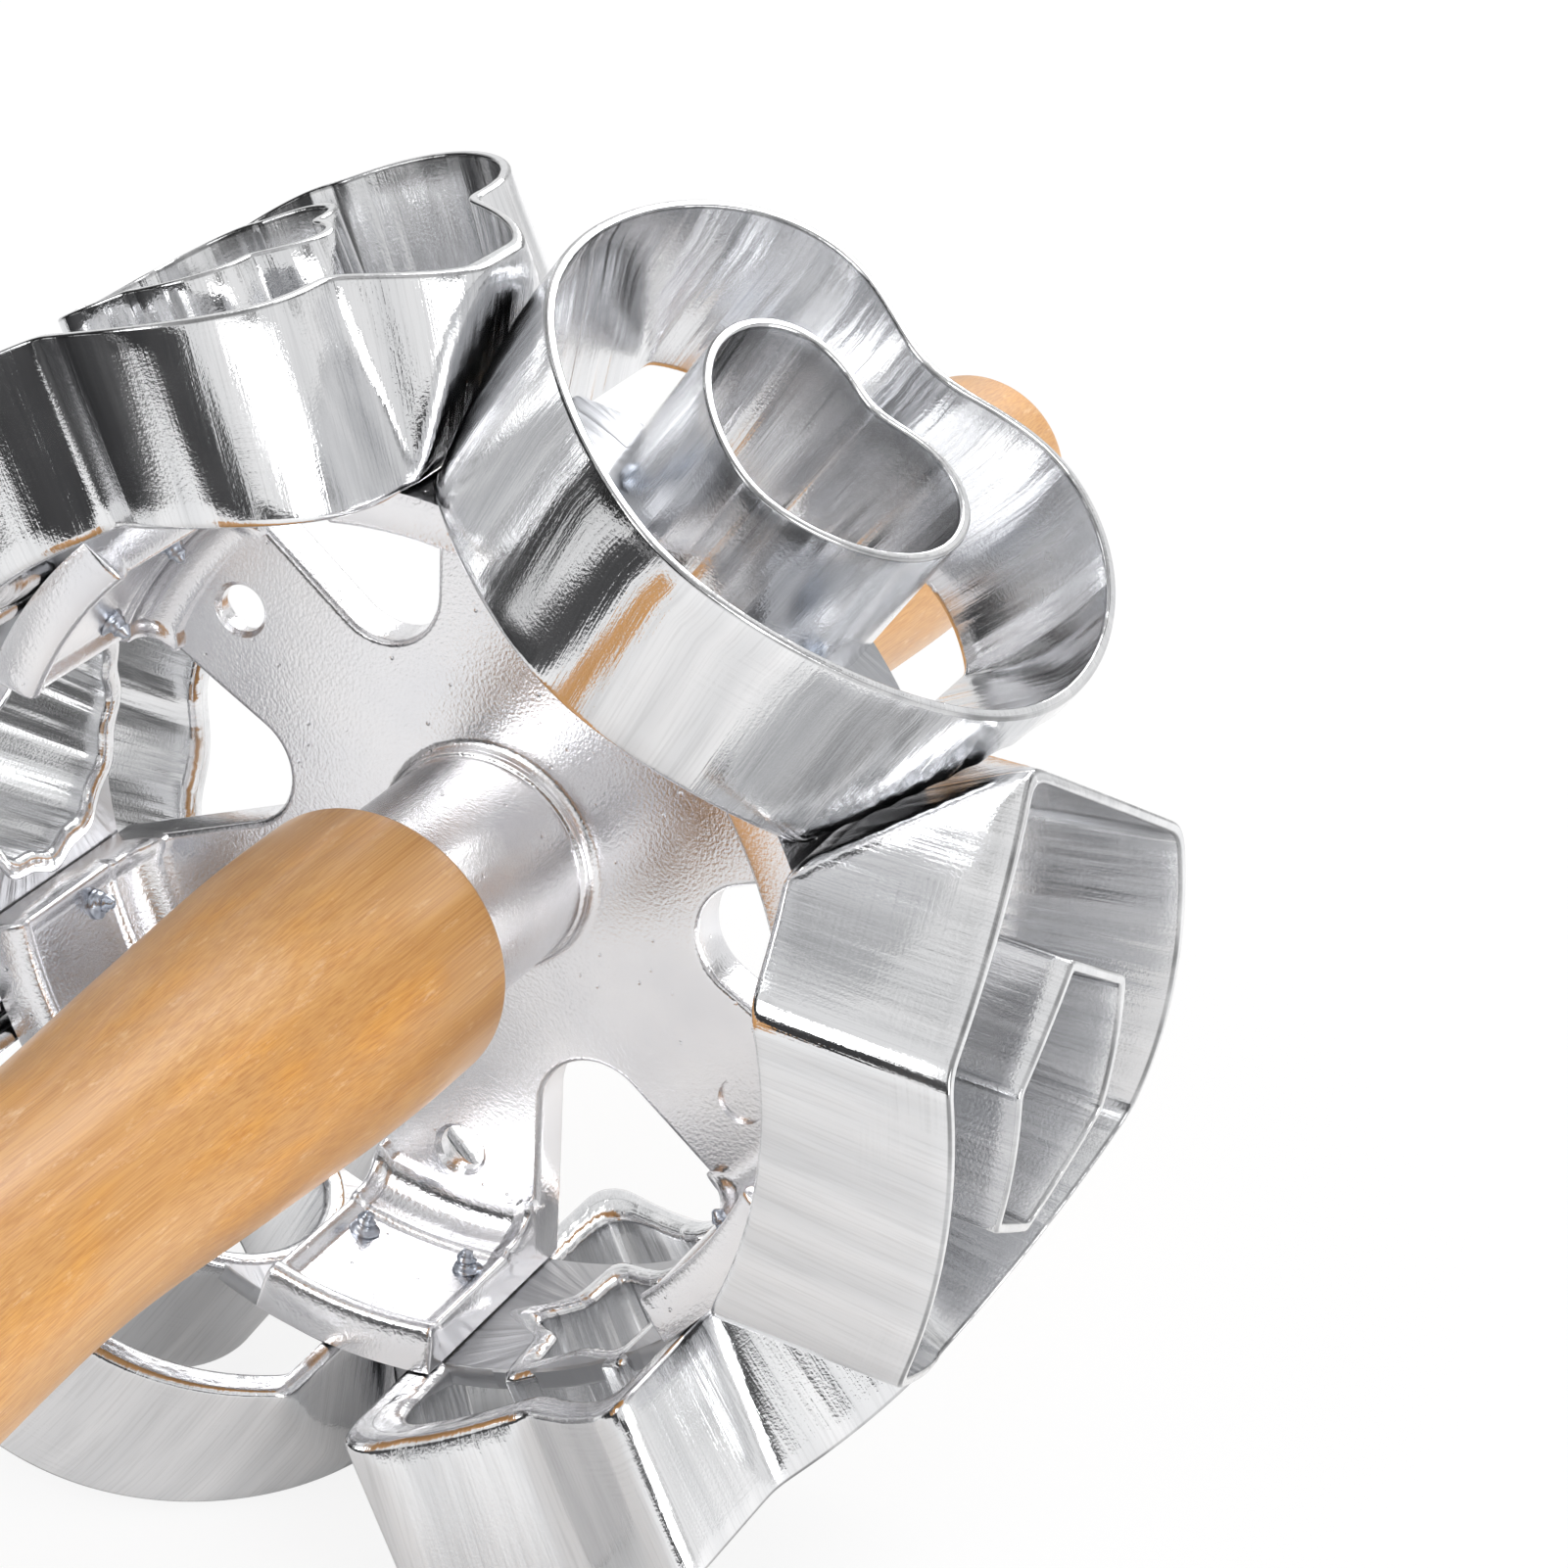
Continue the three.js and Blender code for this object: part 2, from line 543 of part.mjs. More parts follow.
const wheel = new THREE.Group();
wheel.add(piece("spider", spider(), castAluminium));
cutters.forEach(({ name, outer, tube }, place) => {
  const mesh = piece(name, cutter(outer, tube), polishedAluminium);
  mesh.rotation.y = -place * SECTOR;
  wheel.add(mesh);
});
for (let foot = 0; foot < 6; foot++) {
  for (const [label, side] of [["a", -1], ["b", 1]]) {
    const screw = piece(`cutter_screw_${foot + 1}${label}`, cutterScrew(), zincSteel);
    screw.rotation.y = -((foot + 0.5) * SECTOR + side * SCREW_ANGLE);
    wheel.add(screw);
  }
}

// The rod with a handle, a thrust washer, an end washer and a nut on each side
const carrier = new THREE.Group();
carrier.add(piece("axle_rod", rod(), zincSteel));
for (const [side, turn] of [["far", 0], ["near", Math.PI]]) {
  const end = new THREE.Group();
  const thrustWasher = washer(THRUST_WASHER_RADIUS, HUB_HALF + SEAT_GAP, THRUST_WASHER_THICKNESS);
  const endWasher = washer(END_WASHER_RADIUS, END_WASHER_AT, END_WASHER_THICKNESS);
  end.add(piece(`handle_${side}`, handle(), varnishedWood));
  end.add(piece(`thrust_washer_${side}`, thrustWasher, zincSteel));
  end.add(piece(`end_washer_${side}`, endWasher, zincSteel));
  end.add(piece(`end_nut_${side}`, nut(), zincSteel));
  end.rotation.x = turn;
  carrier.add(end);
}

const roller = new THREE.Group();
roller.add(wheel, carrier);
roller.position.z = EDGE_RADIUS;

export default roller;
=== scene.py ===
import math

import bmesh
import bpy
import numpy as np
from mathutils import Matrix, Vector


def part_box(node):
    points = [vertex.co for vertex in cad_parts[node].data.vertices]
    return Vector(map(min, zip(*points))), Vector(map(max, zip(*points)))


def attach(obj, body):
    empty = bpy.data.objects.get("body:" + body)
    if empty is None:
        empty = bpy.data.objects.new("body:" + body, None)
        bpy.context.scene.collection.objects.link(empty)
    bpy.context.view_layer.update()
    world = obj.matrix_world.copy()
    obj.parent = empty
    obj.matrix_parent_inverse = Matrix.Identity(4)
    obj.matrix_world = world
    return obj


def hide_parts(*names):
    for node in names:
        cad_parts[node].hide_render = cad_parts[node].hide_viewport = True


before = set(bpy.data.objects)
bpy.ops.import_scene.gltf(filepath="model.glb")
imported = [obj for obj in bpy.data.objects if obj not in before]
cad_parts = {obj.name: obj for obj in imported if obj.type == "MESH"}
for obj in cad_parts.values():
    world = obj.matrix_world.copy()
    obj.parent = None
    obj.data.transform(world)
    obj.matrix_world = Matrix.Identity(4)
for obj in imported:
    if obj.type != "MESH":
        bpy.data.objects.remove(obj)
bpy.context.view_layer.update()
scene = bpy.context.scene
scene.view_settings.view_transform = "Standard"
mm = 0.001
print("frame:", len(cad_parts), "nodes")


def span(node, axis):
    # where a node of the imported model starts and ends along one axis, in millimetres
    low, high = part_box(node)
    return low[axis] / mm, high[axis] / mm


axleHeight = sum(span("axle_rod", 2)) / 2
edgeRadius = span("cutter_hexagon", 0)[1]
footEdge, hubHalf = span("spider", 1)
handleStart, handleEnd = span("handle_far", 1)
sector = math.pi / 3  # each of the six cutters has a sixth of the wheel

# Camera, fitted to the photograph
cameraSet = dict(
    place=(232.99, -458.15, 382.10),
    aim=(35.79, 24.46, 107.27),
    roll=7.68,  # degrees, right side of the picture raised
    lens=101.42,
    sensor=36.0,
    clipStart=10.0,
)


def makeCamera(c):
    # looks from its place to its aim, then rolls about that line
    data = bpy.data.cameras.new("photoCamera")
    data.lens = c["lens"]
    data.sensor_width = c["sensor"]
    data.clip_start = c["clipStart"] * mm
    camera = bpy.data.objects.new("photoCamera", data)
    scene.collection.objects.link(camera)
    place = Vector(c["place"]) * mm
    look = (Vector(c["aim"]) * mm - place).to_track_quat("-Z", "Y").to_matrix().to_4x4()
    roll = Matrix.Rotation(math.radians(c["roll"]), 4, "Z")
    camera.matrix_world = Matrix.Translation(place) @ look @ roll
    scene.camera = camera


makeCamera(cameraSet)
print("camera set")


def linear(hexColour):
    # sRGB hex to linear light
    raw = np.array([int(hexColour[i:i + 2], 16) for i in (1, 3, 5)]) / 255
    lin = np.where(raw <= 0.04045, raw / 12.92, ((raw + 0.055) / 1.055) ** 2.4)
    return (*lin.tolist(), 1.0)


def fillStops(elements, stops):
    # (place, colour) along a colour ramp: a colour is sRGB hex, or one number for a grey
    while len(elements) < len(stops):
        elements.new(0.5)
    for element, (place, colour) in zip(elements, stops):
        element.position = place
        element.color = linear(colour) if isinstance(colour, str) else (colour, colour, colour, 1)


def fillSockets(tree, node, inputs):
    # each input is a value, a socket to link, or a node, which gives its first output
    for name, value in inputs.items():
        if isinstance(value, bpy.types.Node):
            value = next(socket for socket in value.outputs if not socket.is_unavailable)
        if isinstance(value, bpy.types.NodeSocket):
            tree.links.new(value, node.inputs[name])
        else:
            node.inputs[name].default_value = value


def addNode(tree, kind, settings=None, inputs=None):
    # one shader node with its settings, a colour ramp's stops among them, and its links
    node = tree.nodes.new("ShaderNode" + kind)
    for name, value in (settings or {}).items():
        if name == "stops":
            fillStops(node.color_ramp.elements, value)
        else:
            setattr(node, name, value)
    fillSockets(tree, node, inputs or {})
    return node


mixNumbers = {"data_type": "FLOAT"}
mixColours = {"data_type": "RGBA"}
multiplyColours = {"data_type": "RGBA", "blend_type": "MULTIPLY"}


def newMaterial(name):
    # material, its node tree and its shader
    material = bpy.data.materials.new(name)
    material.use_nodes = True
    tree = material.node_tree
    return material, tree, tree.nodes["Principled BSDF"]


# Polished cast aluminium: ground and buffed by hand, so the walls carry soft ripples that run
# from base to edge, grit lines both ways, a fine sparkle and small dull patches. Floors stay as cast.
# Grit lines and sparkle are drawn 0.4 mm wide, about twice the real ones, so that they show.
# Zones are millimetres on the wall map: up the outside, over the edge, down the inside, and floors past that
polishZones = dict(
    edgeLine=(25.5, 28.5),
    overEdge=(26.8, 27.8),
    onFloor=(74.0, 75.0),
)
polishNoise = dict(  # size along and up the wall, detail, roughness
    ripple=(7, 80, 2.5, 0.55),
    gritUp=(0.4, 14, 2.0, 0.5),
    gritAlong=(14, 0.4, 2.0, 0.5),
)


def polishedAluminium():
    material, tree, shader = newMaterial("polishedCastAluminium")
    place = addNode(tree, "UVMap", {"uv_map": "wallMap"})
    spot = addNode(tree, "TexCoord").outputs["Object"]
    upWall = addNode(tree, "SeparateXYZ", None, {"Vector": place}).outputs["Y"]
    zone, noise = {}, {}
    for name, (start, end) in polishZones.items():
        zone[name] = addNode(tree, "MapRange", None,
                             {"Value": upWall, "From Min": start * mm, "From Max": end * mm})
    for name, (along, up, detail, roughness) in polishNoise.items():
        stretch = addNode(tree, "Mapping", None,
                          {"Vector": place, "Scale": (1 / (along * mm), 1 / (up * mm), 1)})
        noise[name] = addNode(tree, "TexNoise", None,
                              {"Vector": stretch, "Scale": 1.0, "Detail": detail, "Roughness": roughness})
    dull = addNode(tree, "TexNoise", None, {"Vector": spot, "Scale": 1 / (14 * mm), "Detail": 5.0})
    sparkle = addNode(tree, "TexNoise", None, {"Vector": spot, "Scale": 1 / (0.4 * mm), "Detail": 2.0})
    swap = addNode(tree, "ValToRGB", {"stops": [(0.52, 0.0), (0.68, 0.7)]}, {"Fac": dull})
    grit = addNode(tree, "Mix", mixNumbers, {"Factor": swap, "A": noise["gritUp"], "B": noise["gritAlong"]})
    # gloss: buffed outside, half matt inside where it is hard to reach, matt floors
    buffed = addNode(tree, "ValToRGB", {"stops": [(0.3, 0.05), (0.7, 0.17)]}, {"Fac": dull})
    halfMatt = addNode(tree, "ValToRGB", {"stops": [(0.3, 0.1), (0.7, 0.28)]}, {"Fac": dull})
    walls = addNode(tree, "Mix", mixNumbers, {"Factor": zone["overEdge"], "A": buffed, "B": halfMatt})
    rough = addNode(tree, "Mix", mixNumbers, {"Factor": zone["onFloor"], "A": walls, "B": 0.42})
    # tint: ripples, grit lines, and thin broken dark lines where the ground edge meets the walls
    greys = [(0.3, "#DADBDD"), (0.7, "#F0F0F1")]
    tint = addNode(tree, "ValToRGB", {"stops": greys}, {"Fac": noise["ripple"]})
    scored = addNode(tree, "ValToRGB", {"stops": [(0.3, 0.7), (0.52, 1.0)]}, {"Fac": grit})
    metal = addNode(tree, "Mix", multiplyColours, {"Factor": 0.35, "A": tint, "B": scored})
    outsideLine = [(0.1, 1.0), (0.17, 0.3), (0.28, 0.3), (0.36, 1.0)]
    insideLine = [(0.6, 1.0), (0.68, 0.3), (0.8, 0.3), (0.88, 1.0)]
    ground = addNode(tree, "ValToRGB", {"stops": outsideLine + insideLine}, {"Fac": zone["edgeLine"]})
    broken = addNode(tree, "ValToRGB", {"stops": [(0.36, 0.35), (0.6, 0.95)]}, {"Fac": dull})
    edged = addNode(tree, "Mix", multiplyColours, {"Factor": broken, "A": metal, "B": ground})
    colour = addNode(tree, "Mix", mixColours, {"Factor": zone["onFloor"], "A": edged, "B": linear("#C2C3C6")})
    # relief: ripples, stronger inside, then grit lines, then sparkle
    depth = addNode(tree, "MapRange", None, {"Value": zone["overEdge"], "To Min": 0.26, "To Max": 0.7})
    rippled = addNode(tree, "Bump", None,
                      {"Height": noise["ripple"], "Strength": depth, "Distance": 1.2 * mm})
    lined = addNode(tree, "Bump", None,
                    {"Height": grit, "Strength": 0.24, "Distance": 0.12 * mm, "Normal": rippled})
    fine = addNode(tree, "Bump", None,
                   {"Height": sparkle, "Strength": 0.17, "Distance": 0.12 * mm, "Normal": lined})
    fillSockets(tree, shader, {"Base Color": colour, "Roughness": rough, "Normal": fine, "Metallic": 1.0})
    return material


# Sand-cast aluminium, tumbled bright: a soft mirror broken by fine grain, with faint clouds and pin holes
def castAluminium():
    material, tree, shader = newMaterial("tumbledCastAluminium")
    spot = addNode(tree, "TexCoord").outputs["Object"]
    cloud = addNode(tree, "TexNoise", None, {"Vector": spot, "Scale": 1 / (18 * mm), "Detail": 5.0})
    grain = addNode(tree, "TexNoise", None, {"Vector": spot, "Scale": 1 / (0.5 * mm), "Detail": 3.0})
    cells = addNode(tree, "TexVoronoi", None, {"Vector": spot, "Scale": 1 / (3.5 * mm)})
    pits = addNode(tree, "ValToRGB", {"stops": [(0.03, 0.0), (0.1, 1.0)]}, {"Fac": cells})
    rough = addNode(tree, "ValToRGB", {"stops": [(0.3, 0.15), (0.72, 0.26)]}, {"Fac": cloud})
    tint = addNode(tree, "ValToRGB", {"stops": [(0.3, "#E5E5E8"), (0.7, "#F6F5F6")]}, {"Fac": cloud})
    grained = addNode(tree, "Bump", None, {"Height": grain, "Strength": 0.3, "Distance": 0.22 * mm})
    pitted = addNode(tree, "Bump", None,
                     {"Height": pits, "Strength": 0.3, "Distance": 0.3 * mm, "Normal": grained})
    fillSockets(tree, shader, {"Base Color": tint, "Roughness": rough, "Normal": pitted, "Metallic": 1.0})
    return material


# Zinc-plated steel: bluish, bright, a little cloudy
def zincSteel():
    material, tree, shader = newMaterial("zincPlatedSteel")
    spot = addNode(tree, "TexCoord").outputs["Object"]
    cloud = addNode(tree, "TexNoise", None, {"Vector": spot, "Scale": 1 / (3 * mm), "Detail": 3.0})
    tint = addNode(tree, "ValToRGB", {"stops": [(0.3, "#AAB2BF"), (0.7, "#D0D5DE")]}, {"Fac": cloud})
    rough = addNode(tree, "ValToRGB", {"stops": [(0.3, 0.2), (0.7, 0.36)]}, {"Fac": cloud})
    fillSockets(tree, shader, {"Base Color": tint, "Roughness": rough, "Metallic": 1.0})
    return material


# Turned hardwood under thin varnish: honey brown with golden patches, dense fine lines and short pores
# along the axis, and pale scuffs from use
woodNoise = dict(  # size across and along the grain, then the noise's own settings
    band=(12, 160, {"Detail": 4.0, "Distortion": 0.4}),
    pore=(0.2, 30, {"Detail": 2.0}),
    patch=(6, 20, {"Detail": 3.0}),
    scuff=(1.6, 7, {"Detail": 6.0, "Roughness": 0.7}),
)


def varnishedWood():
    material, tree, shader = newMaterial("varnishedHardwood")
    spot = addNode(tree, "TexCoord").outputs["Object"]
    noise = {}
    for name, (across, along, settings) in woodNoise.items():
        scale = (1 / (across * mm), 1 / (along * mm), 1 / (across * mm))
        stretch = addNode(tree, "Mapping", None, {"Vector": spot, "Scale": scale})
        noise[name] = addNode(tree, "TexNoise", None, {"Vector": stretch, "Scale": 1.0, **settings})
    browns = [(0.28, "#B78447"), (0.5, "#C49356"), (0.72, "#CFA16A")]
    body = addNode(tree, "ValToRGB", {"stops": browns}, {"Fac": noise["band"]})
    golden = addNode(tree, "ValToRGB", {"stops": [(0.5, 0.0), (0.7, 0.5)]}, {"Fac": noise["patch"]})
    warmed = addNode(tree, "Mix", mixColours, {"Factor": golden, "A": body, "B": linear("#D0912F")})
    lines = [(0.3, "#B88240"), (0.62, "#FFFFFF")]
    pores = addNode(tree, "ValToRGB", {"stops": lines}, {"Fac": noise["pore"]})
    grained = addNode(tree, "Mix", multiplyColours, {"Factor": 0.42, "A": warmed, "B": pores})
    scuffs = addNode(tree, "ValToRGB", {"stops": [(0.58, 0.0), (0.74, 0.42)]}, {"Fac": noise["scuff"]})
    worn = addNode(tree, "Mix", mixColours, {"Factor": scuffs, "A": grained, "B": linear("#EACBA6")})
    bump = addNode(tree, "Bump", None, {"Height": noise["pore"], "Strength": 0.18, "Distance": 0.2 * mm})
    fillSockets(tree, shader, {"Base Color": worn, "Normal": bump, "Roughness": 0.38,
                               "Coat Weight": 0.35, "Coat Roughness": 0.22})
    return material


polished, cast, zinc, wood = polishedAluminium(), castAluminium(), zincSteel(), varnishedWood()
print("materials made")

# Meshes from grids of points, in millimetres
meshSet = dict(
    smoothLimit=38,  # degrees, sharper edges stay hard
    weld=0.002, sliver=0.001,
)


def shadeSmooth(mesh, limit):
    # smooth faces, with hard edges where two faces meet at more than the limit
    mesh.polygons.foreach_set("use_smooth", np.ones(len(mesh.polygons), bool))
    mesh.set_sharp_from_angle(angle=math.radians(limit))


def gridPiece(name, grids, material, closedRows=True, smoothLimit=meshSet["smoothLimit"], capped=False):
    # each grid (rows, columns, 3) is a tube of quads: each row is a closed loop, the last row joins the first
    # where asked, and caps fill both where asked
    points, quads, maps, caps = [], [], [], []
    start = 0
    for grid, uv in grids:
        rows, cols = grid.shape[:2]
        if capped:
            caps += [np.arange(cols)[::-1] + start, np.arange(cols) + start + (rows - 1) * cols]
        row, col = np.meshgrid(np.arange(rows if closedRows else rows - 1), np.arange(cols), indexing="ij")
        nextRow, nextCol = (row + 1) % rows, (col + 1) % cols
        corners = [row * cols + col, row * cols + nextCol, nextRow * cols + nextCol, nextRow * cols + col]
        quads.append(np.stack(corners, -1).reshape(-1, 4) + start)
        points.append(grid.reshape(-1, 3) * mm)
        maps.append(uv.reshape(-1, 2) * mm)
        start += rows * cols
    verts, faces, uvs = np.concatenate(points), np.concatenate(quads), np.concatenate(maps)
    mesh = bpy.data.meshes.new(name)
    mesh.from_pydata(verts.tolist(), [], faces.tolist() + [cap.tolist() for cap in caps])
    used = np.concatenate([faces.reshape(-1), *caps])
    layer = mesh.uv_layers.new(name="wallMap")
    layer.data.foreach_set("uv", uvs[used].astype(np.float32).reshape(-1))
    work = bmesh.new()
    work.from_mesh(mesh)
    bmesh.ops.remove_doubles(work, verts=work.verts, dist=meshSet["weld"] * mm)
    bmesh.ops.dissolve_degenerate(work, edges=work.edges, dist=meshSet["sliver"] * mm)
    bmesh.ops.recalc_face_normals(work, faces=work.faces)
    work.to_mesh(mesh)
    work.free()
    shadeSmooth(mesh, smoothLimit)
    mesh.materials.append(material)
    piece = bpy.data.objects.new(name, mesh)
    scene.collection.objects.link(piece)
    return piece


def settle(piece, body, slot, *nodes):
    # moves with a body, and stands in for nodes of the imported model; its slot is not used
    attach(piece, body)
    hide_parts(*nodes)


def alongRows(grid):
    # map of real lengths over the grid: round the loop, and along the profile
    step = np.linalg.norm(np.diff(grid, axis=1, append=grid[:, :1]), axis=2)
    around = np.cumsum(step[len(step) // 3])
    rise = np.linalg.norm(np.diff(grid, axis=0, prepend=grid[:1]), axis=2).max(axis=1)
    u, v = np.meshgrid(around, np.cumsum(rise))
    return np.stack([u, v], -1)


def turnedGrid(profile, steps):
    # profile (radius, along) carried round the rod's axis
    p = np.asarray(profile, float)
    a = np.linspace(0, 2 * np.pi, steps, endpoint=False)
    radius, along = p[:, :1], np.broadcast_to(p[:, 1:], (len(p), steps))
    return np.stack([radius * np.cos(a), along, radius * np.sin(a) + axleHeight], -1)


def arcPoints(cx, cy, radius, start, end, steps=8):
    # points on a circle between two angles in degrees
    a = np.radians(np.linspace(start, end, steps))
    return np.stack([cx + radius * np.cos(a), cy + radius * np.sin(a)], -1)


def turnedTo(out, sideways, angle):
    # x and z of a place given as a distance out from the rod and a distance round the wheel
    x = out * math.cos(angle) - sideways * math.sin(angle)
    z = out * math.sin(angle) + sideways * math.cos(angle) + axleHeight
    return x, z


# Cutter outlines: each gives the loop that lies inset inside the cutting edge's outline.
# First column runs round the wheel, second along the rod; the loop starts at its side and goes far side first
loopSteps = 480


def polarLoop(radiusAt):
    # radius as a function of the angle
    a = np.linspace(0, 2 * np.pi, loopSteps, endpoint=False)
    return radiusAt(a)[:, None] * np.stack([np.cos(a), np.sin(a)], -1)


def roundLoop(radius):
    # circle
    return lambda inset: polarLoop(lambda a: np.full_like(a, radius - inset))


def scallopLoop(crest, depth, flutes):
    # circle with a cosine wave of flutes
    return lambda inset: polarLoop(lambda a: crest - inset - depth / 2 * (1 - np.cos(flutes * a)))


def softAbsolute(wave, rounding):
    # absolute value with a rounded foot, still 1 at its top
    return (np.sqrt(wave ** 2 + rounding ** 2) - rounding) / (math.sqrt(1 + rounding ** 2) - rounding)


def flowerLoop(tip, valley, rounding=0.2, fullness=0.9):
    # six lobes: the absolute value of a cosine, rounded in the valleys and filled out a little
    def radiusAt(a, inset):
        return valley - inset + (tip - valley) * softAbsolute(np.cos(3 * a), rounding) ** fullness
    return lambda inset: polarLoop(lambda a: radiusAt(a, inset))


def spokes(angles):
    # unit vectors at these angles
    return np.stack([np.cos(angles), np.sin(angles)], -1)


def sidesLoop(sidePoints, arcs):
    # rounded corner arcs joined by straight sides, started in the middle of the first arc
    filled = []
    share = np.linspace(0, 1, sidePoints + 2)[1:-1, None]
    for arc, following in zip(arcs, arcs[1:] + arcs[:1]):
        filled += [arc, arc[-1] + share * (following[0] - arc[-1])]
    return np.roll(np.concatenate(filled), -(len(arcs[0]) // 2), axis=0)


def starLoop(tip, valley, rounding):
    # six points with rounded tips and sharp valleys, straight sides set in by the inset
    def loop(inset):
        half = math.atan2(valley * math.sin(sector / 2), tip - valley * math.cos(sector / 2))
        middle = tip - (inset + rounding) / math.sin(half)
        low = valley - inset / math.sin(half + sector / 2)
        turn = np.linspace(half - math.pi / 2, math.pi / 2 - half, 16)
        arcs = []
        for side in range(6):
            arcs.append(rounding * spokes(turn + side * sector) + middle * spokes(side * sector))
            arcs.append(low * spokes(np.array([(side + 0.5) * sector])))
        return sidesLoop(32, arcs)
    return loop


def hexLoop(corner, rounding):
    # hexagon with rounded corners, straight sides set in by the inset
    def loop(inset):
        middle = corner - (inset + rounding) / math.cos(sector / 2)
        turn = np.linspace(-0.5, 0.5, 16) * sector
        corners = [rounding * spokes(turn + k * sector) + middle * spokes(k * sector) for k in range(6)]
        return sidesLoop(64, corners)
    return loop


def bezier(p0, p1, p2, p3, steps):
    # cubic from p0 to p3, pulled towards p1 and p2
    t = np.linspace(0, 1, steps, endpoint=False)[:, None]
    p0, p1, p2, p3 = (np.array(p, float) for p in (p0, p1, p2, p3))
    return (1 - t) ** 3 * p0 + 3 * t * (1 - t) ** 2 * p1 + 3 * t * t * (1 - t) * p2 + t ** 3 * p3


def heartLoop(halfWidth, tip, lobe, cleft):
    # two cubics over each lobe into the cleft, one down each side to the tip; the factors are shares
    # of the half width and of the heights of lobe and tip
    def loop(inset):
        w, t, l, c = halfWidth - inset, tip - inset, lobe - inset, cleft - inset
        n = loopSteps // 8
        return np.concatenate([
            bezier((w, 0.42 * l), (w, 0.79 * l), (0.82 * w, l), (0.56 * w, l), n),
            bezier((0.56 * w, l), (0.31 * w, l), (0.16 * w, c), (0, c), n),
            bezier((0, c), (-0.16 * w, c), (-0.31 * w, l), (-0.56 * w, l), n),
            bezier((-0.56 * w, l), (-0.82 * w, l), (-w, 0.79 * l), (-w, 0.42 * l), n),
            bezier((-w, 0.42 * l), (-w, -0.24 * t), (-0.42 * w, -t), (0, -t), 2 * n),
            bezier((0, -t), (0.42 * w, -t), (w, -0.24 * t), (w, 0.42 * l), 2 * n),
        ])
    return loop


cutterSet = {  # outer wall and inner tube, in their order round the wheel
    "cutter_hexagon": (hexLoop(44.8, 4.4), hexLoop(20.5, 1.6)),
    "cutter_heart": (heartLoop(42.7, 41.7, 43.3, 33.3), heartLoop(19.8, 18.2, 19.4, 16.1)),
    "cutter_flower": (flowerLoop(45, 36.6), flowerLoop(20.4, 16.8)),
    "cutter_scalloped": (scallopLoop(45, 1.5, 16), scallopLoop(20, 1.0, 12)),
    "cutter_round": (roundLoop(45), roundLoop(20)),
    "cutter_star": (starLoop(46.8, 27.5, 3.0), starLoop(20.5, 13, 1.2)),
}
wheelSet = dict(
    baseRadius=64.4,
    edgeWall=1.5, baseWall=4.8,
    tubeEdgeWall=1.4, tubeBaseWall=3.6,
    flankGap=1.2, flankWall=2.4,
    rimRound=0.45, footRound=1.3,
    flankSteps=12, wallPoints=640, tubePoints=320,
    crease=dict(cutter_star=1.7), plainCrease=0.9,  # how far corners along the wall are blended
    tubeCrease=dict(cutter_star=0.9), plainTubeCrease=0.35,
    floorThickness=3.2, floorWidth=31.0, floorBevel=0.35,
    floorLift=0.12,  # floors stand clear of the base by this
    floorUnderTube=0.6, floorUnderFlank=0.5,  # share of the wall that covers the floor's edge
    floorLeast=0.5,  # narrowest floor beside the tube
    floorMapStart=80.0,  # past every wall on the wall map, where the finish is left as cast
)


def clippedRun(run, limit, sign):
    # a run from one side of the wheel's sector to the other, stopped where it meets the flank planes
    n = len(run)
    middle = n // 2
    first, last = 0.0, float(n - 1)
    start = np.nonzero(sign * run[:middle, 0] > limit)[0]
    if len(start):
        i = start[-1]
        first = i + (sign * run[i, 0] - limit) / (sign * (run[i, 0] - run[i + 1, 0]))
    end = np.nonzero(-sign * run[middle:, 0] > limit)[0]
    if len(end):
        i = end[0] + middle
        last = i - (-sign * run[i, 0] - limit) / (-sign * (run[i, 0] - run[i - 1, 0]))
    place = np.clip(np.arange(n, dtype=float), first, last)
    return np.stack([np.interp(place, np.arange(n), run[:, k]) for k in (0, 1)], -1)


def flankLimit(radius, drawnIn):
    # half width of the sector at a radius, with its sides drawn in
    return radius * math.sin(sector / 2 - math.asin(drawnIn / radius))


def clippedLoop(loop, limit, steps):
    # far run, back flank, near run, front flank; starts in the middle of the front flank
    half = len(loop) // 2
    far = clippedRun(loop[:half + 1], limit, 1)
    near = clippedRun(np.concatenate([loop[half:], loop[:1]]), limit, -1)
    share = np.linspace(0, 1, steps + 2)[1:-1, None]
    back = far[-1] + share * (near[0] - far[-1])
    front = near[-1] + share * (far[0] - near[-1])
    return np.concatenate([front[steps // 2:], far, back, near, front[:steps // 2]])


def softened(loop, count, blend):
    # even steps round the loop, with its corners blended over a short length by a Gaussian
    step = np.hypot(*np.diff(loop, axis=0, append=loop[:1]).T)
    place = np.concatenate([[0], np.cumsum(step)])
    ring = np.concatenate([loop, loop[:1]])
    even = np.linspace(0, place[-1], count, endpoint=False)
    loop = np.stack([np.interp(even, place, ring[:, k]) for k in (0, 1)], -1)
    spread = blend * count / place[-1]
    wave = np.exp(-2 * (np.pi * spread * np.fft.fftfreq(count)) ** 2)
    return np.fft.ifft(np.fft.fft(loop, axis=0) * wave[:, None], axis=0).real


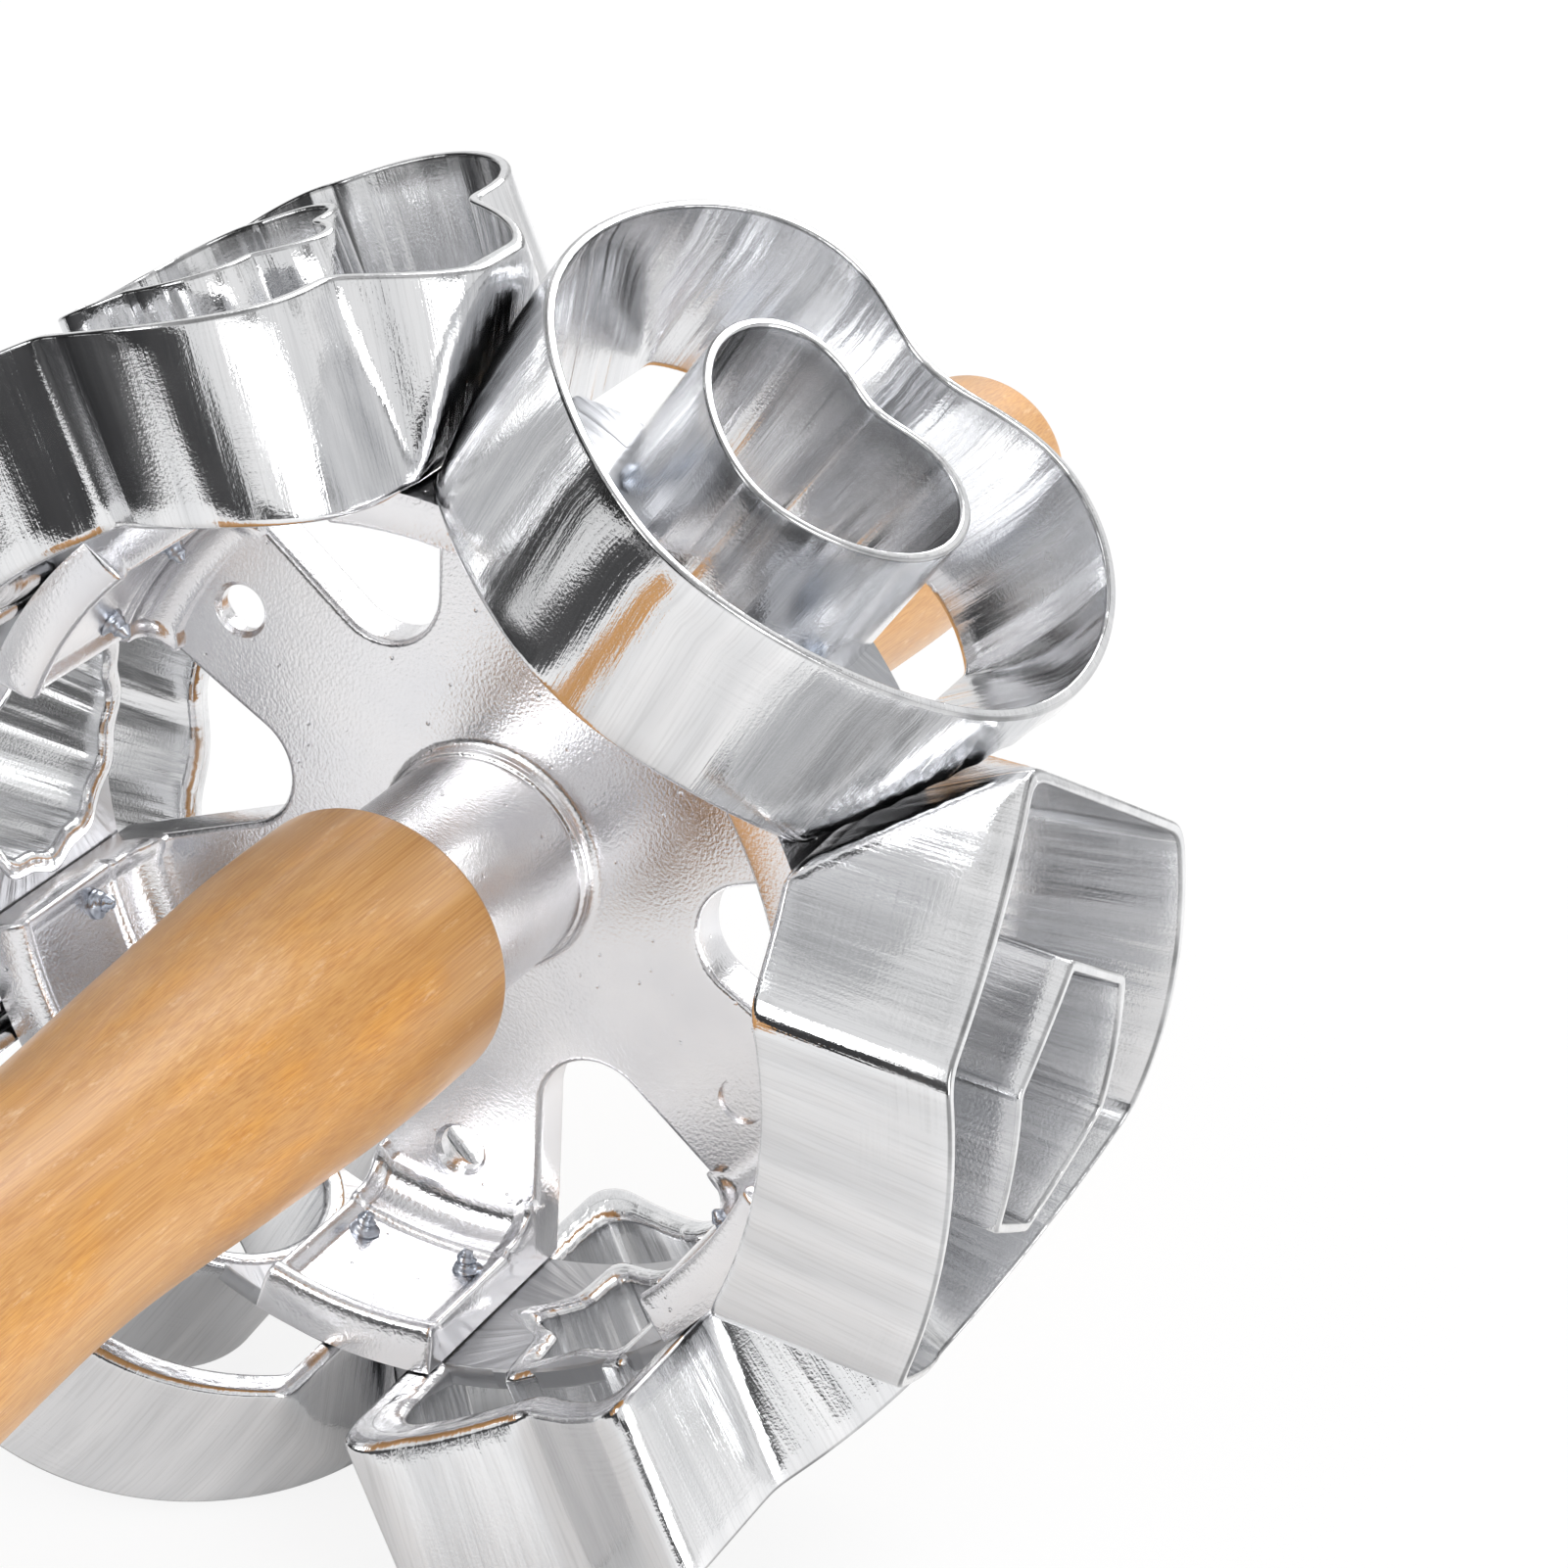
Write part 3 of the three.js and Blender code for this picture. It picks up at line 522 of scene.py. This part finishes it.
def wallProfile(w, edgeWall, baseWall):
    # (inset, radius) round the section of a wall: up outside, over the rounded edge, down the drafted inside
    base, edge, r, f = w["baseRadius"], edgeRadius, w["rimRound"], w["footRound"]
    turn = np.linspace(0, np.pi / 2, 5)
    rise, lean = 1 - np.sin(turn), 1 - np.cos(turn)
    out = np.linspace(base + f, edge - r, 10)[1:-1]
    share = np.linspace(0, 1, 10)[1:-1]
    return np.concatenate([
        np.stack([f * rise, base + f * lean], -1),
        np.stack([0 * out, out], -1),
        np.stack([r * lean, edge - r * rise], -1),
        np.stack([edgeWall - r * rise, edge - r * lean], -1),
        np.stack([edgeWall + (baseWall - edgeWall) * share, edge - r + (base + f - edge + r) * share], -1),
        np.stack([baseWall - f * lean, base + f * rise], -1),
    ])


def onWheel(loopRows, radii, angle):
    # loops laid on cylinders round the rod, turned to a cutter's place
    sideways, along = loopRows[..., 0], loopRows[..., 1]
    out = np.sqrt(np.asarray(radii)[:, None] ** 2 - sideways ** 2)
    x, z = turnedTo(out, sideways, angle)
    return np.stack([x, along, z], -1)


def wallGrid(loopAt, profile, w, angle, flanked, edgeWall, crease):
    # the outline carried over the wall's section, and cut by the flanks of the sector where asked
    rows = []
    for inset, radius in profile:
        loop = loopAt(inset)
        if flanked:
            share = min(max(inset / edgeWall, 0), 1)
            limit = flankLimit(radius, w["flankGap"] / 2 + w["flankWall"] * share)
            loop = softened(clippedLoop(loop, limit, w["flankSteps"]), w["wallPoints"], crease)
        else:
            loop = softened(loop, w["tubePoints"], crease)
        rows.append(loop)
    grid = onWheel(np.stack(rows), profile[:, 1], angle)
    place = alongRows(grid)
    # one height scale for every wall
    place[1:, :, 1] = np.cumsum(np.hypot(*np.diff(profile, axis=0).T))[:, None]
    return grid, place


def floorGrid(outerAt, tubeAt, w, angle):
    # bar under the tube: a ring from the tube's bore out to a rectangle that ends inside the outer wall
    inner = tubeAt(w["tubeBaseWall"] * w["floorUnderTube"])
    reach = np.hypot(*inner.T)
    way = inner / reach[:, None]
    side = flankLimit(w["baseRadius"], w["flankGap"] / 2 + w["flankWall"] * w["floorUnderFlank"])
    acrossWay, alongWay = np.maximum(abs(way), 1e-6).T  # kept off zero for the division
    box = np.minimum(side / acrossWay, w["floorWidth"] / 2 / alongWay)
    wall = outerAt(w["edgeWall"])
    wallAngle = np.arctan2(wall[:, 1], wall[:, 0]) % (2 * np.pi)
    order = np.argsort(wallAngle)
    bearing = np.arctan2(way[:, 1], way[:, 0]) % (2 * np.pi)
    wallReach = np.interp(bearing, wallAngle[order], np.hypot(*wall.T)[order], period=2 * np.pi)
    outer = np.maximum(np.minimum(box, wallReach), reach + w["floorLeast"])
    low, high = w["baseRadius"] + w["floorLift"], w["baseRadius"] + w["floorThickness"]
    bevel = w["floorBevel"]
    across = (0, 0.35, 0.7)
    rows = [(s, 0, low) for s in across]  # share of the way out, drawn back, radius
    rows += [(1, bevel, low), (1, 0, low + bevel), (1, 0, high - bevel), (1, bevel, high)]
    rows += [(s, 0, high) for s in across[::-1]]
    loops = np.stack([way * (reach + (outer - back - reach) * s)[:, None] for s, back, _ in rows])
    grid = onWheel(loops, [radius for _, _, radius in rows], angle)
    return grid, alongRows(grid) + [0, w["floorMapStart"]]


def cutterGrids(w, node, outerAt, tubeAt, angle):
    # outer wall, inner tube and the floor between them
    outerWall = wallProfile(w, w["edgeWall"], w["baseWall"])
    tubeWall = wallProfile(w, w["tubeEdgeWall"], w["tubeBaseWall"])
    crease = w["crease"].get(node, w["plainCrease"])
    tubeCrease = w["tubeCrease"].get(node, w["plainTubeCrease"])
    return [
        wallGrid(outerAt, outerWall, w, angle, True, w["edgeWall"], crease),
        wallGrid(tubeAt, tubeWall, w, angle, False, w["tubeEdgeWall"], tubeCrease),
        floorGrid(outerAt, tubeAt, w, angle),
    ]


for turn, (node, (outerAt, tubeAt)) in enumerate(cutterSet.items()):
    grids = cutterGrids(wheelSet, node, outerAt, tubeAt, turn * sector)
    piece = gridPiece(node + "_casting", grids, polished)
    settle(piece, "wheel", "polished_aluminium", node)
print("cutters made")

# Spider: web plate with notches and arm holes, hub boss, six feet with rails and a lip
spiderSet = dict(
    webThickness=7.2, edgeRound=0.9,
    notchRadius=8.4, notchCentre=40.1,
    bossRadius=15.4, bossBore=4.4, bossFillet=1.8, bossRound=1.0, bossProud=0.05,
    bead=0.7, beadProud=0.1, beadDrop=0.2,
    footOuter=64.1, footThickness=5.0, footWidth=27.4, cornerRound=1.4,
    bend=4.6, ledge=1.0, ledgeRound=0.25,
    bendStep=0.9, stepBefore=1.6, stepSoftness=0.16,  # low step in front of the bend
    lipHeight=1.6, lipWidth=4.6,
    railHeight=1.1, railWidth=3.4,
    fullness=0.8,  # below 1 fills out the section of rails and lips
    holeAt=47.7, holeRadius=3.4, holeChamfer=0.7,
    recessRadius=7.0, recessDepth=5.0,
    markDepth=0.8, markDraft=0.4,
    sunk=2.0,  # how far the feet reach into the web
    toolPast=2.0,  # how far cutting tools stand out of the web
    smoothLimit=50,
)
webNear = hubHalf - spiderSet["webThickness"]


def webLoop(s):
    # outline of the web in its own plane: arm ends, straight arm sides, tangent to the round notches
    halfArm = math.asin(s["footWidth"] / 2 / s["footOuter"])
    corner = s["footOuter"] * spokes(halfArm - sector / 2)
    toCorner = corner - [s["notchCentre"], 0]
    tangent = math.atan2(toCorner[1], toCorner[0]) - math.acos(s["notchRadius"] / np.hypot(*toCorner))
    notch = s["notchRadius"] * spokes(np.linspace(tangent, -2 * np.pi - tangent, 40)) + [s["notchCentre"], 0]
    arm = s["footOuter"] * spokes(np.linspace(-halfArm, halfArm, 16) - sector / 2)
    share = np.linspace(0, 1, 22)[1:-1, None]
    down = arm[-1] + share * (notch[0] - arm[-1])
    up = notch[-1] + share * (arm[-1] * [1, -1] - notch[-1])
    one = np.concatenate([arm, down, notch, up])
    turns = np.arange(6) * sector
    spins = np.stack([spokes(turns), spokes(turns + np.pi / 2)], 1)
    return (one @ spins).reshape(-1, 2)


def webGrid(s):
    # outline drawn in over a quarter circle at both faces; the first and last rows keep the faces flat
    loop = webLoop(s)
    along = np.roll(loop, -1, 0) - np.roll(loop, 1, 0)
    inward = np.stack([-along[:, 1], along[:, 0]], -1) / np.hypot(*along.T)[:, None]
    r = s["edgeRound"]
    turn = np.linspace(0, math.pi / 2, 5)
    rise, lean = r * (1 - np.sin(turn)), r * (1 - np.cos(turn))
    drawnIn = np.concatenate([[1.1 * r], rise, lean, [1.1 * r]])
    y = np.concatenate([[webNear], webNear + lean, hubHalf - rise, [hubHalf]])
    rows = loop + inward * drawnIn[:, None, None]
    depth = np.broadcast_to(y[:, None], rows.shape[:2])
    grid = np.stack([rows[..., 0], depth, rows[..., 1] + axleHeight], -1)
    return grid, alongRows(grid)


def bossGrid(s):
    # profile turned about the rod: a plain boss, a thin bead round its root, then a small fillet into the web
    radius, fillet, bead, end = s["bossRadius"], s["bossFillet"], s["bead"], s["bossRound"]
    root, back = webNear - fillet, hubHalf + s["bossProud"]
    beadAt = root - s["beadDrop"]
    straight = np.linspace(beadAt - s["beadProud"] - bead, 2 * end - hubHalf, 8)
    profile = [
        (s["bossBore"], back), (radius, back), (radius + fillet, webNear + 1),
        *arcPoints(radius + fillet, root, fillet, 88, 168, 14),
        *arcPoints(radius + s["beadProud"], beadAt, bead, 60, -90),
        *[(radius, y) for y in straight],
        *arcPoints(radius - end, end - hubHalf, end, 0, -90),
        (s["bossBore"], -hubHalf),
    ]
    grid = turnedGrid(profile, 128)
    return grid, alongRows(grid)


def ridge(distance, width, fullness):
    # half a sine wave over the width, filled out, and nothing past it
    wave = np.sin(np.pi * np.clip(distance / width, 0, 1))
    return np.where(distance < width, wave ** fullness, 0)


def quarterRound(distance, radius):
    # rises from 0 to 1 along a quarter circle
    return np.sqrt(np.clip(1 - np.clip(1 - distance / radius, 0, 1) ** 2, 0, 1))


def footGrid(s, arm):
    # plate thickness as a height field over (across, along): rails at the sides, lip at the free edge,
    # a fillet with a step on both sides into the web, and rounded outer corners
    half, r, bend = s["footWidth"] / 2, s["cornerRound"], s["bend"]
    top = webNear - s["ledge"]
    across = half * np.sin(np.linspace(-np.pi / 2, np.pi / 2, 61))
    corner = footEdge + r - r * np.sin(np.linspace(0, np.pi / 2, 12))[::-1]
    curl = top - bend * (1 - np.sin(np.linspace(0, np.pi / 2, 20)))
    plate = np.linspace(footEdge + r, curl[0], 60)
    intoWeb = [top + s["ledgeRound"], webNear + 0.2, webNear + s["sunk"]]
    t, y = np.meshgrid(across, np.concatenate([corner, plate[1:], curl[1:], intoWeb]))
    side, back = half - abs(t), y - footEdge
    rail = s["railHeight"] * ridge(side, s["railWidth"], s["fullness"])
    lip = s["lipHeight"] * ridge(back, s["lipWidth"], s["fullness"])
    rise = np.clip(y - (top - bend), 0, bend)
    fillet = bend - np.sqrt(np.maximum(bend ** 2 - rise ** 2, 0))
    step = s["bendStep"] / (1 + np.exp(-(y - (top - bend - s["stepBefore"])) / s["stepSoftness"]))
    depth = s["footThickness"] + np.maximum(rail, lip) + fillet + step
    depth = depth * quarterRound(side, r) * quarterRound(back, r)
    inner = np.stack([t, y, s["footOuter"] - depth], -1)
    under = np.stack([t, y, np.full_like(t, s["footOuter"])], -1)[:, ::-1]
    sideways, along, radius = np.moveaxis(np.concatenate([inner, under], 1), -1, 0)
    out = np.sqrt(np.maximum(radius ** 2 - sideways ** 2, 0))
    x, z = turnedTo(out, sideways, (arm + 0.5) * sector)
    grid = np.stack([x, along, z], -1)
    return grid, alongRows(grid)


def armTools(s):
    # lathe tools: chamfered holes with a recess behind on every other arm, blind marks on the others
    r, c, recess, past = s["holeRadius"], s["holeChamfer"], s["recessRadius"], s["toolPast"]
    front, back, recessFloor = webNear - past, hubHalf + past, hubHalf - s["recessDepth"]
    markFloor = webNear + s["markDepth"]
    through = [(0, front), (r + c + past, front), (r + c, webNear), (r, webNear + c), (r, recessFloor),
               (recess, recessFloor), (recess, back), (0, back)]
    mark = [(0, front), (r + s["markDraft"], front), (r, markFloor), (0, markFloor)]
    tools = []
    for arm in range(6):
        angle = (arm + 0.5) * sector
        grid = turnedGrid(through if arm % 2 == 0 else mark, 40)
        place = s["holeAt"] * np.array([math.cos(angle), 0, math.sin(angle)])
        tools.append((grid + place, grid[..., :2] * 0))
    return tools


def cutAway(piece, tool):
    # takes the tool's shape out of the piece
    change = piece.modifiers.new("holes", "BOOLEAN")
    change.operation, change.solver, change.object = "DIFFERENCE", "EXACT", tool
    ready = piece.evaluated_get(bpy.context.evaluated_depsgraph_get())
    mesh = bpy.data.meshes.new_from_object(ready)
    piece.modifiers.clear()
    piece.data = mesh
    bpy.data.objects.remove(tool)
    shadeSmooth(mesh, meshSet["smoothLimit"])


web = gridPiece("spider_web", [webGrid(spiderSet)], cast, closedRows=False, capped=True)
cutAway(web, gridPiece("armTools", armTools(spiderSet), cast, closedRows=False))
boss = gridPiece("spider_boss", [bossGrid(spiderSet)], cast)
feet = gridPiece("spider_feet", [footGrid(spiderSet, arm) for arm in range(6)], cast, closedRows=False,
                 smoothLimit=spiderSet["smoothLimit"])
settle(web, "wheel", "cast_aluminium", "spider")
for extra in (boss, feet):
    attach(extra, "wheel")
print("spider made")

# Cutter screws: domed head with a cross recess, cut thread and cone point
screwSet = dict(
    pitch=18.0, seat=67.9,
    headRadius=3.4, headHeight=2.4,
    radius=1.7, core=1.3, threadPitch=1.3, threadSlope=3.2,
    point=2.6, proud=3.4, blunt=0.55, tipRound=0.8,
    burr=0.7, burrDrop=0.2, burrWidth=0.4,
    slotWidth=0.42, slotReach=1.75, slotDepth=1.1, slotSide=0.12, slotEnd=0.3,
)


def screwGrid(q, angle):
    # radius over (height, angle): a helical thread on a tapered core, a burr where it leaves the foot,
    # then a dome whose height drops in a cross
    tip = spiderSet["footOuter"] - spiderSet["footThickness"] - q["proud"]
    a = np.linspace(0, 2 * np.pi, 48, endpoint=False)
    shank = np.linspace(tip, q["seat"], 90)[:, None]
    up = shank - tip
    taper = q["blunt"] + (1 - q["blunt"]) * np.clip(up / q["point"], 0, 1)
    taper = taper * np.sqrt(np.clip(up / q["tipRound"], 0, 1))
    burr = q["burr"] * np.exp(-((up - q["proud"] + q["burrDrop"]) / q["burrWidth"]) ** 2)
    turn = (shank / q["threadPitch"] + a / (2 * np.pi)) % 1.0
    crest = np.clip(1 - abs(turn - 0.5) * q["threadSlope"], 0, 1)
    shankRadius = taper * (q["core"] + (q["radius"] - q["core"]) * crest) + burr
    height = np.broadcast_to(shank, shankRadius.shape)
    shankRows = np.stack([height, shankRadius * np.cos(a), shankRadius * np.sin(a)], -1)
    lift = np.linspace(0, np.pi / 2, 26)[:, None]
    headRadius = q["headRadius"] * np.cos(lift) * np.ones(len(a))
    headTop = q["seat"] + q["headHeight"] * np.sin(lift) * np.ones(len(a))
    u, v = headRadius * np.cos(a), headRadius * np.sin(a)
    inSlot = np.clip((q["slotWidth"] - np.minimum(abs(u), abs(v))) / q["slotSide"], 0, 1)
    inSlot = inSlot * np.clip((q["slotReach"] - headRadius) / q["slotEnd"], 0, 1)
    headRows = np.stack([headTop - q["slotDepth"] * inSlot, u, v], -1)
    out, along, sideways = np.moveaxis(np.concatenate([shankRows, headRows]), -1, 0)
    x, z = turnedTo(out, sideways, angle)
    grid = np.stack([x, along, z], -1)
    return grid, alongRows(grid)


lean = math.asin(screwSet["pitch"] / 2 / spiderSet["footOuter"])
for foot in range(6):
    for label, side in (("a", -1), ("b", 1)):
        node = f"cutter_screw_{foot + 1}{label}"
        angle = (foot + 0.5) * sector + side * lean
        piece = gridPiece(node + "_turned", [screwGrid(screwSet, angle)], zinc, closedRows=False)
        settle(piece, "wheel", "zinc_steel", node)
print("screws made")

# Handles: turned collar, waist and swell, rounded end with a recess for the nut
handleSet = dict(
    collar=19.9, collarLength=12.0, edgeRound=1.2,
    waist=16.2, waistAt=72.0,
    taperAt=0.63,  # share of the way to the waist where the collar is half gone
    swell=17.6, swellFromEnd=27.0,
    end=15.5, endRound=3.2,
    recess=9.6, recessChamfer=0.4, bore=4.3,
    washerSeat=1.7,  # recess floor below the end washer's outer face
)


def smoothThrough(places, radii, steps):
    # cubic through a few turned diameters, with slopes from the neighbours
    places, radii = np.array(places, float), np.array(radii, float)
    slope = np.gradient(radii, places)
    s = np.linspace(places[0], places[-1], steps)
    i = np.clip(np.searchsorted(places, s) - 1, 0, len(places) - 2)
    h = places[i + 1] - places[i]
    x = (s - places[i]) / h
    r = (radii[i] * (1 + 2 * x) * (1 - x) ** 2 + slope[i] * h * x * (1 - x) ** 2
         + radii[i + 1] * x * x * (3 - 2 * x) + slope[i + 1] * h * x * x * (x - 1))
    return np.stack([r, s], -1)


def handleGrid(h, recessFloor, mirrored):
    # a smooth grip between rounded ends, turned about the rod; the near handle is the far one mirrored
    e, o, c = h["edgeRound"], h["endRound"], h["recessChamfer"]
    grip = smoothThrough(
        [handleStart + e, handleStart + h["collarLength"], handleStart + h["taperAt"] * h["waistAt"],
         handleStart + h["waistAt"], handleEnd - h["swellFromEnd"], handleEnd - o],
        [h["collar"], h["collar"], (h["collar"] + h["waist"]) / 2, h["waist"], h["swell"], h["end"]], 90)
    profile = np.concatenate([
        [(h["bore"], handleStart)],
        arcPoints(h["collar"] - e, handleStart + e, e, -90, 0),
        grip[1:-1],
        arcPoints(h["end"] - o, handleEnd - o, o, 0, 90, 10),
        [(h["recess"] + c, handleEnd), (h["recess"], handleEnd - c)],
        [(h["recess"], recessFloor), (h["bore"], recessFloor)],
    ])
    grid = turnedGrid(profile, 128)
    if mirrored:
        grid = grid * [1, -1, 1]
    return grid, alongRows(grid)


for side, mirrored in (("far", False), ("near", True)):
    recessFloor = max(abs(v) for v in span("end_washer_" + side, 1)) - handleSet["washerSeat"]
    piece = gridPiece("handle_" + side + "_turned", [handleGrid(handleSet, recessFloor, mirrored)], wood)
    settle(piece, "carrier", "varnished_wood", "handle_" + side)
print("handles made")

# Rod, washers and nuts, mostly hidden in the hub and the handles
rodSet = dict(
    radius=4.0, chamfer=0.8, plainEnd=5.0,
    bore=4.3, washerRound=0.25,
    nutFlats=13.0, nutChamfer=0.9, nutFace=1.02,  # its round faces are this much wider than the flats
)


def rodGrid(q):
    # straight rod with chamfered ends
    low, high = span("axle_rod", 1)
    r, c = q["radius"], q["chamfer"]
    straight = [(r, y) for y in np.linspace(low + q["plainEnd"], high - q["plainEnd"], 20)]
    profile = [(0, low), (r - c, low), (r, low + c), *straight, (r, high - c), (r - c, high), (0, high)]
    grid = turnedGrid(profile, 48)
    return grid, alongRows(grid)


def washerGrid(node, q):
    # flat ring with its outer edges broken
    low, high = span(node, 1)
    inner, outer, edge = q["bore"], span(node, 0)[1], q["washerRound"]
    profile = [(inner, low), (outer - edge, low), (outer, low + edge),
               (outer, high - edge), (outer - edge, high), (inner, high)]
    grid = turnedGrid(profile, 64)
    return grid, alongRows(grid)


def nutGrid(node, q):
    # hexagon with its corners turned off at both faces
    low, high = span(node, 1)
    c = q["nutChamfer"]
    a = np.linspace(0, 2 * np.pi, 96, endpoint=False)
    flat = q["nutFlats"] / 2 / np.cos((a + sector / 2) % sector - sector / 2)
    turnedOff = np.minimum(flat, q["nutFlats"] / 2 * q["nutFace"])
    bore = np.full_like(a, q["bore"])
    radius = np.stack([bore, turnedOff, flat, flat, turnedOff, bore])
    along = np.array([low, low, low + c, high - c, high, high])[:, None] * np.ones(len(a))
    grid = np.stack([radius * np.cos(a), along, radius * np.sin(a) + axleHeight], -1)
    return grid, alongRows(grid)


rod = gridPiece("axle_rod_turned", [rodGrid(rodSet)], zinc, closedRows=False)
settle(rod, "carrier", "zinc_steel", "axle_rod")
for side in ("far", "near"):
    for node in ("thrust_washer_" + side, "end_washer_" + side):
        washer = gridPiece(node + "_pressed", [washerGrid(node, rodSet)], zinc)
        settle(washer, "carrier", "zinc_steel", node)
    node = "end_nut_" + side
    nut = gridPiece(node + "_milled", [nutGrid(node, rodSet)], zinc)
    settle(nut, "carrier", "zinc_steel", node)
print("rod, washers and nuts made")

# Floor, light and surroundings, in metres
stageSet = dict(
    floorSize=6.0, floorColour="#DEDEDE", floorRoughness=0.9,
    floorShown=0.87, floorMirrored=0.2,  # share of plain white that the camera and the metal see
    worldLevel=0.9, darkSide=(-0.95, -0.25, -0.15),
    cardColour="#1C1C1E",
    cards=dict(  # place, facing, width, length
        leftCard=((-0.48, -0.38, 0.004), (0, 0, 1), 0.56, 0.7),
        sideCard=((-0.55, 0.0, 0.2), (1, 0, 0), 0.4, 0.9),
        frontCard=((-0.2, -0.8, 0.2), (0, 1, 0), 1.1, 0.42),
        rightCard=((0.72, -0.72, 0.13), (-0.7, 0.7, 0), 0.6, 0.26),
    ),
    panels=dict(  # place, size, watts
        keyPanel=((-0.52, -0.95, 0.85), 0.7, 5.3),
        sidePanel=((0.95, -0.25, 0.35), 0.6, 6),
        backPanel=((-0.1, 0.9, 0.9), 0.8, 9),
    ),
    panelAim=(0, 0, 0.08),
)


def flatSheet(name, width, length, material):
    # one rectangle about the origin, part of the stage
    mesh = bpy.data.meshes.new(name)
    corners = np.array([(-1, -1, 0), (1, -1, 0), (1, 1, 0), (-1, 1, 0)]) * [width / 2, length / 2, 0]
    mesh.from_pydata(corners.tolist(), [], [(0, 1, 2, 3)])
    mesh.materials.append(material)
    sheet = bpy.data.objects.new(name, mesh)
    scene.collection.objects.link(sheet)
    return sheet


def makeFloor(s):
    # pale matt floor that takes the shadow, and looks near white to the camera
    material, tree, shader = newMaterial("paleFloor")
    fillSockets(tree, shader, {"Base Color": linear(s["floorColour"]), "Roughness": s["floorRoughness"]})
    glow = addNode(tree, "Emission", None, {"Color": (1, 1, 1, 1), "Strength": 1.0})
    path = addNode(tree, "LightPath").outputs
    shown = addNode(tree, "Math", {"operation": "MULTIPLY"}, {0: path["Is Camera Ray"], 1: s["floorShown"]})
    mirrored = addNode(tree, "Math", {"operation": "MULTIPLY"},
                       {0: path["Is Glossy Ray"], 1: s["floorMirrored"]})
    share = addNode(tree, "Math", {"operation": "MAXIMUM"}, {0: shown, 1: mirrored})
    mix = addNode(tree, "MixShader", None, {"Fac": share, 1: shader, 2: glow})
    fillSockets(tree, tree.nodes["Material Output"], {"Surface": mix})
    flatSheet("floor", s["floorSize"], s["floorSize"], material)


def makeCards(s):
    # black studio cards out of the picture: polished walls show them as dark bands, nothing else sees them
    for name, (place, facing, width, length) in s["cards"].items():
        material, tree, shader = newMaterial(name + "Black")
        fillSockets(tree, shader, {"Base Color": linear(s["cardColour"])})
        card = flatSheet(name, width, length, material)
        card.location = place
        card.rotation_euler = Vector(facing).to_track_quat("Z", "Y").to_euler()
        card.visible_camera = card.visible_diffuse = card.visible_shadow = card.visible_transmission = False


def makePanels(s):
    # square lamps turned to the wheel
    for name, (place, size, power) in s["panels"].items():
        data = bpy.data.lights.new(name, "AREA")
        data.energy, data.size = power, size
        lamp = bpy.data.objects.new(name, data)
        lamp.location = Vector(place)
        lamp.rotation_euler = (Vector(s["panelAim"]) - Vector(place)).to_track_quat("-Z", "Y").to_euler()
        scene.collection.objects.link(lamp)


def makeWorld(s):
    # white studio with a dark side and soft dark gaps between its light panels, which polished metal shows
    # as streaks; the camera sees plain white
    world = bpy.data.worlds.new("studio")
    scene.world = world
    world.use_nodes = True
    tree = world.node_tree
    way = addNode(tree, "TexCoord").outputs["Generated"]
    darkSide = Vector(s["darkSide"]).normalized()
    towards = addNode(tree, "VectorMath", {"operation": "DOT_PRODUCT"}, {0: way, 1: darkSide})
    sweep = addNode(tree, "ValToRGB", {"stops": [(0.68, 1.0), (0.86, 0.04)]}, {"Fac": towards})
    gaps = addNode(tree, "TexNoise", None, {"Vector": way, "Scale": 2.6, "Detail": 1.0})
    gap = addNode(tree, "ValToRGB", {"stops": [(0.34, 0.1), (0.43, 1.0)]}, {"Fac": gaps})
    studio = addNode(tree, "Mix", multiplyColours, {"Factor": 0.75, "A": sweep, "B": gap})
    white = 1 / s["worldLevel"]
    toCamera = addNode(tree, "LightPath").outputs["Is Camera Ray"]
    seen = addNode(tree, "Mix", mixColours, {"Factor": toCamera, "A": studio, "B": (white, white, white, 1)})
    fillSockets(tree, tree.nodes["Background"], {"Color": seen, "Strength": s["worldLevel"]})


makeFloor(stageSet)
makeWorld(stageSet)
makeCards(stageSet)
makePanels(stageSet)
print("stage set")
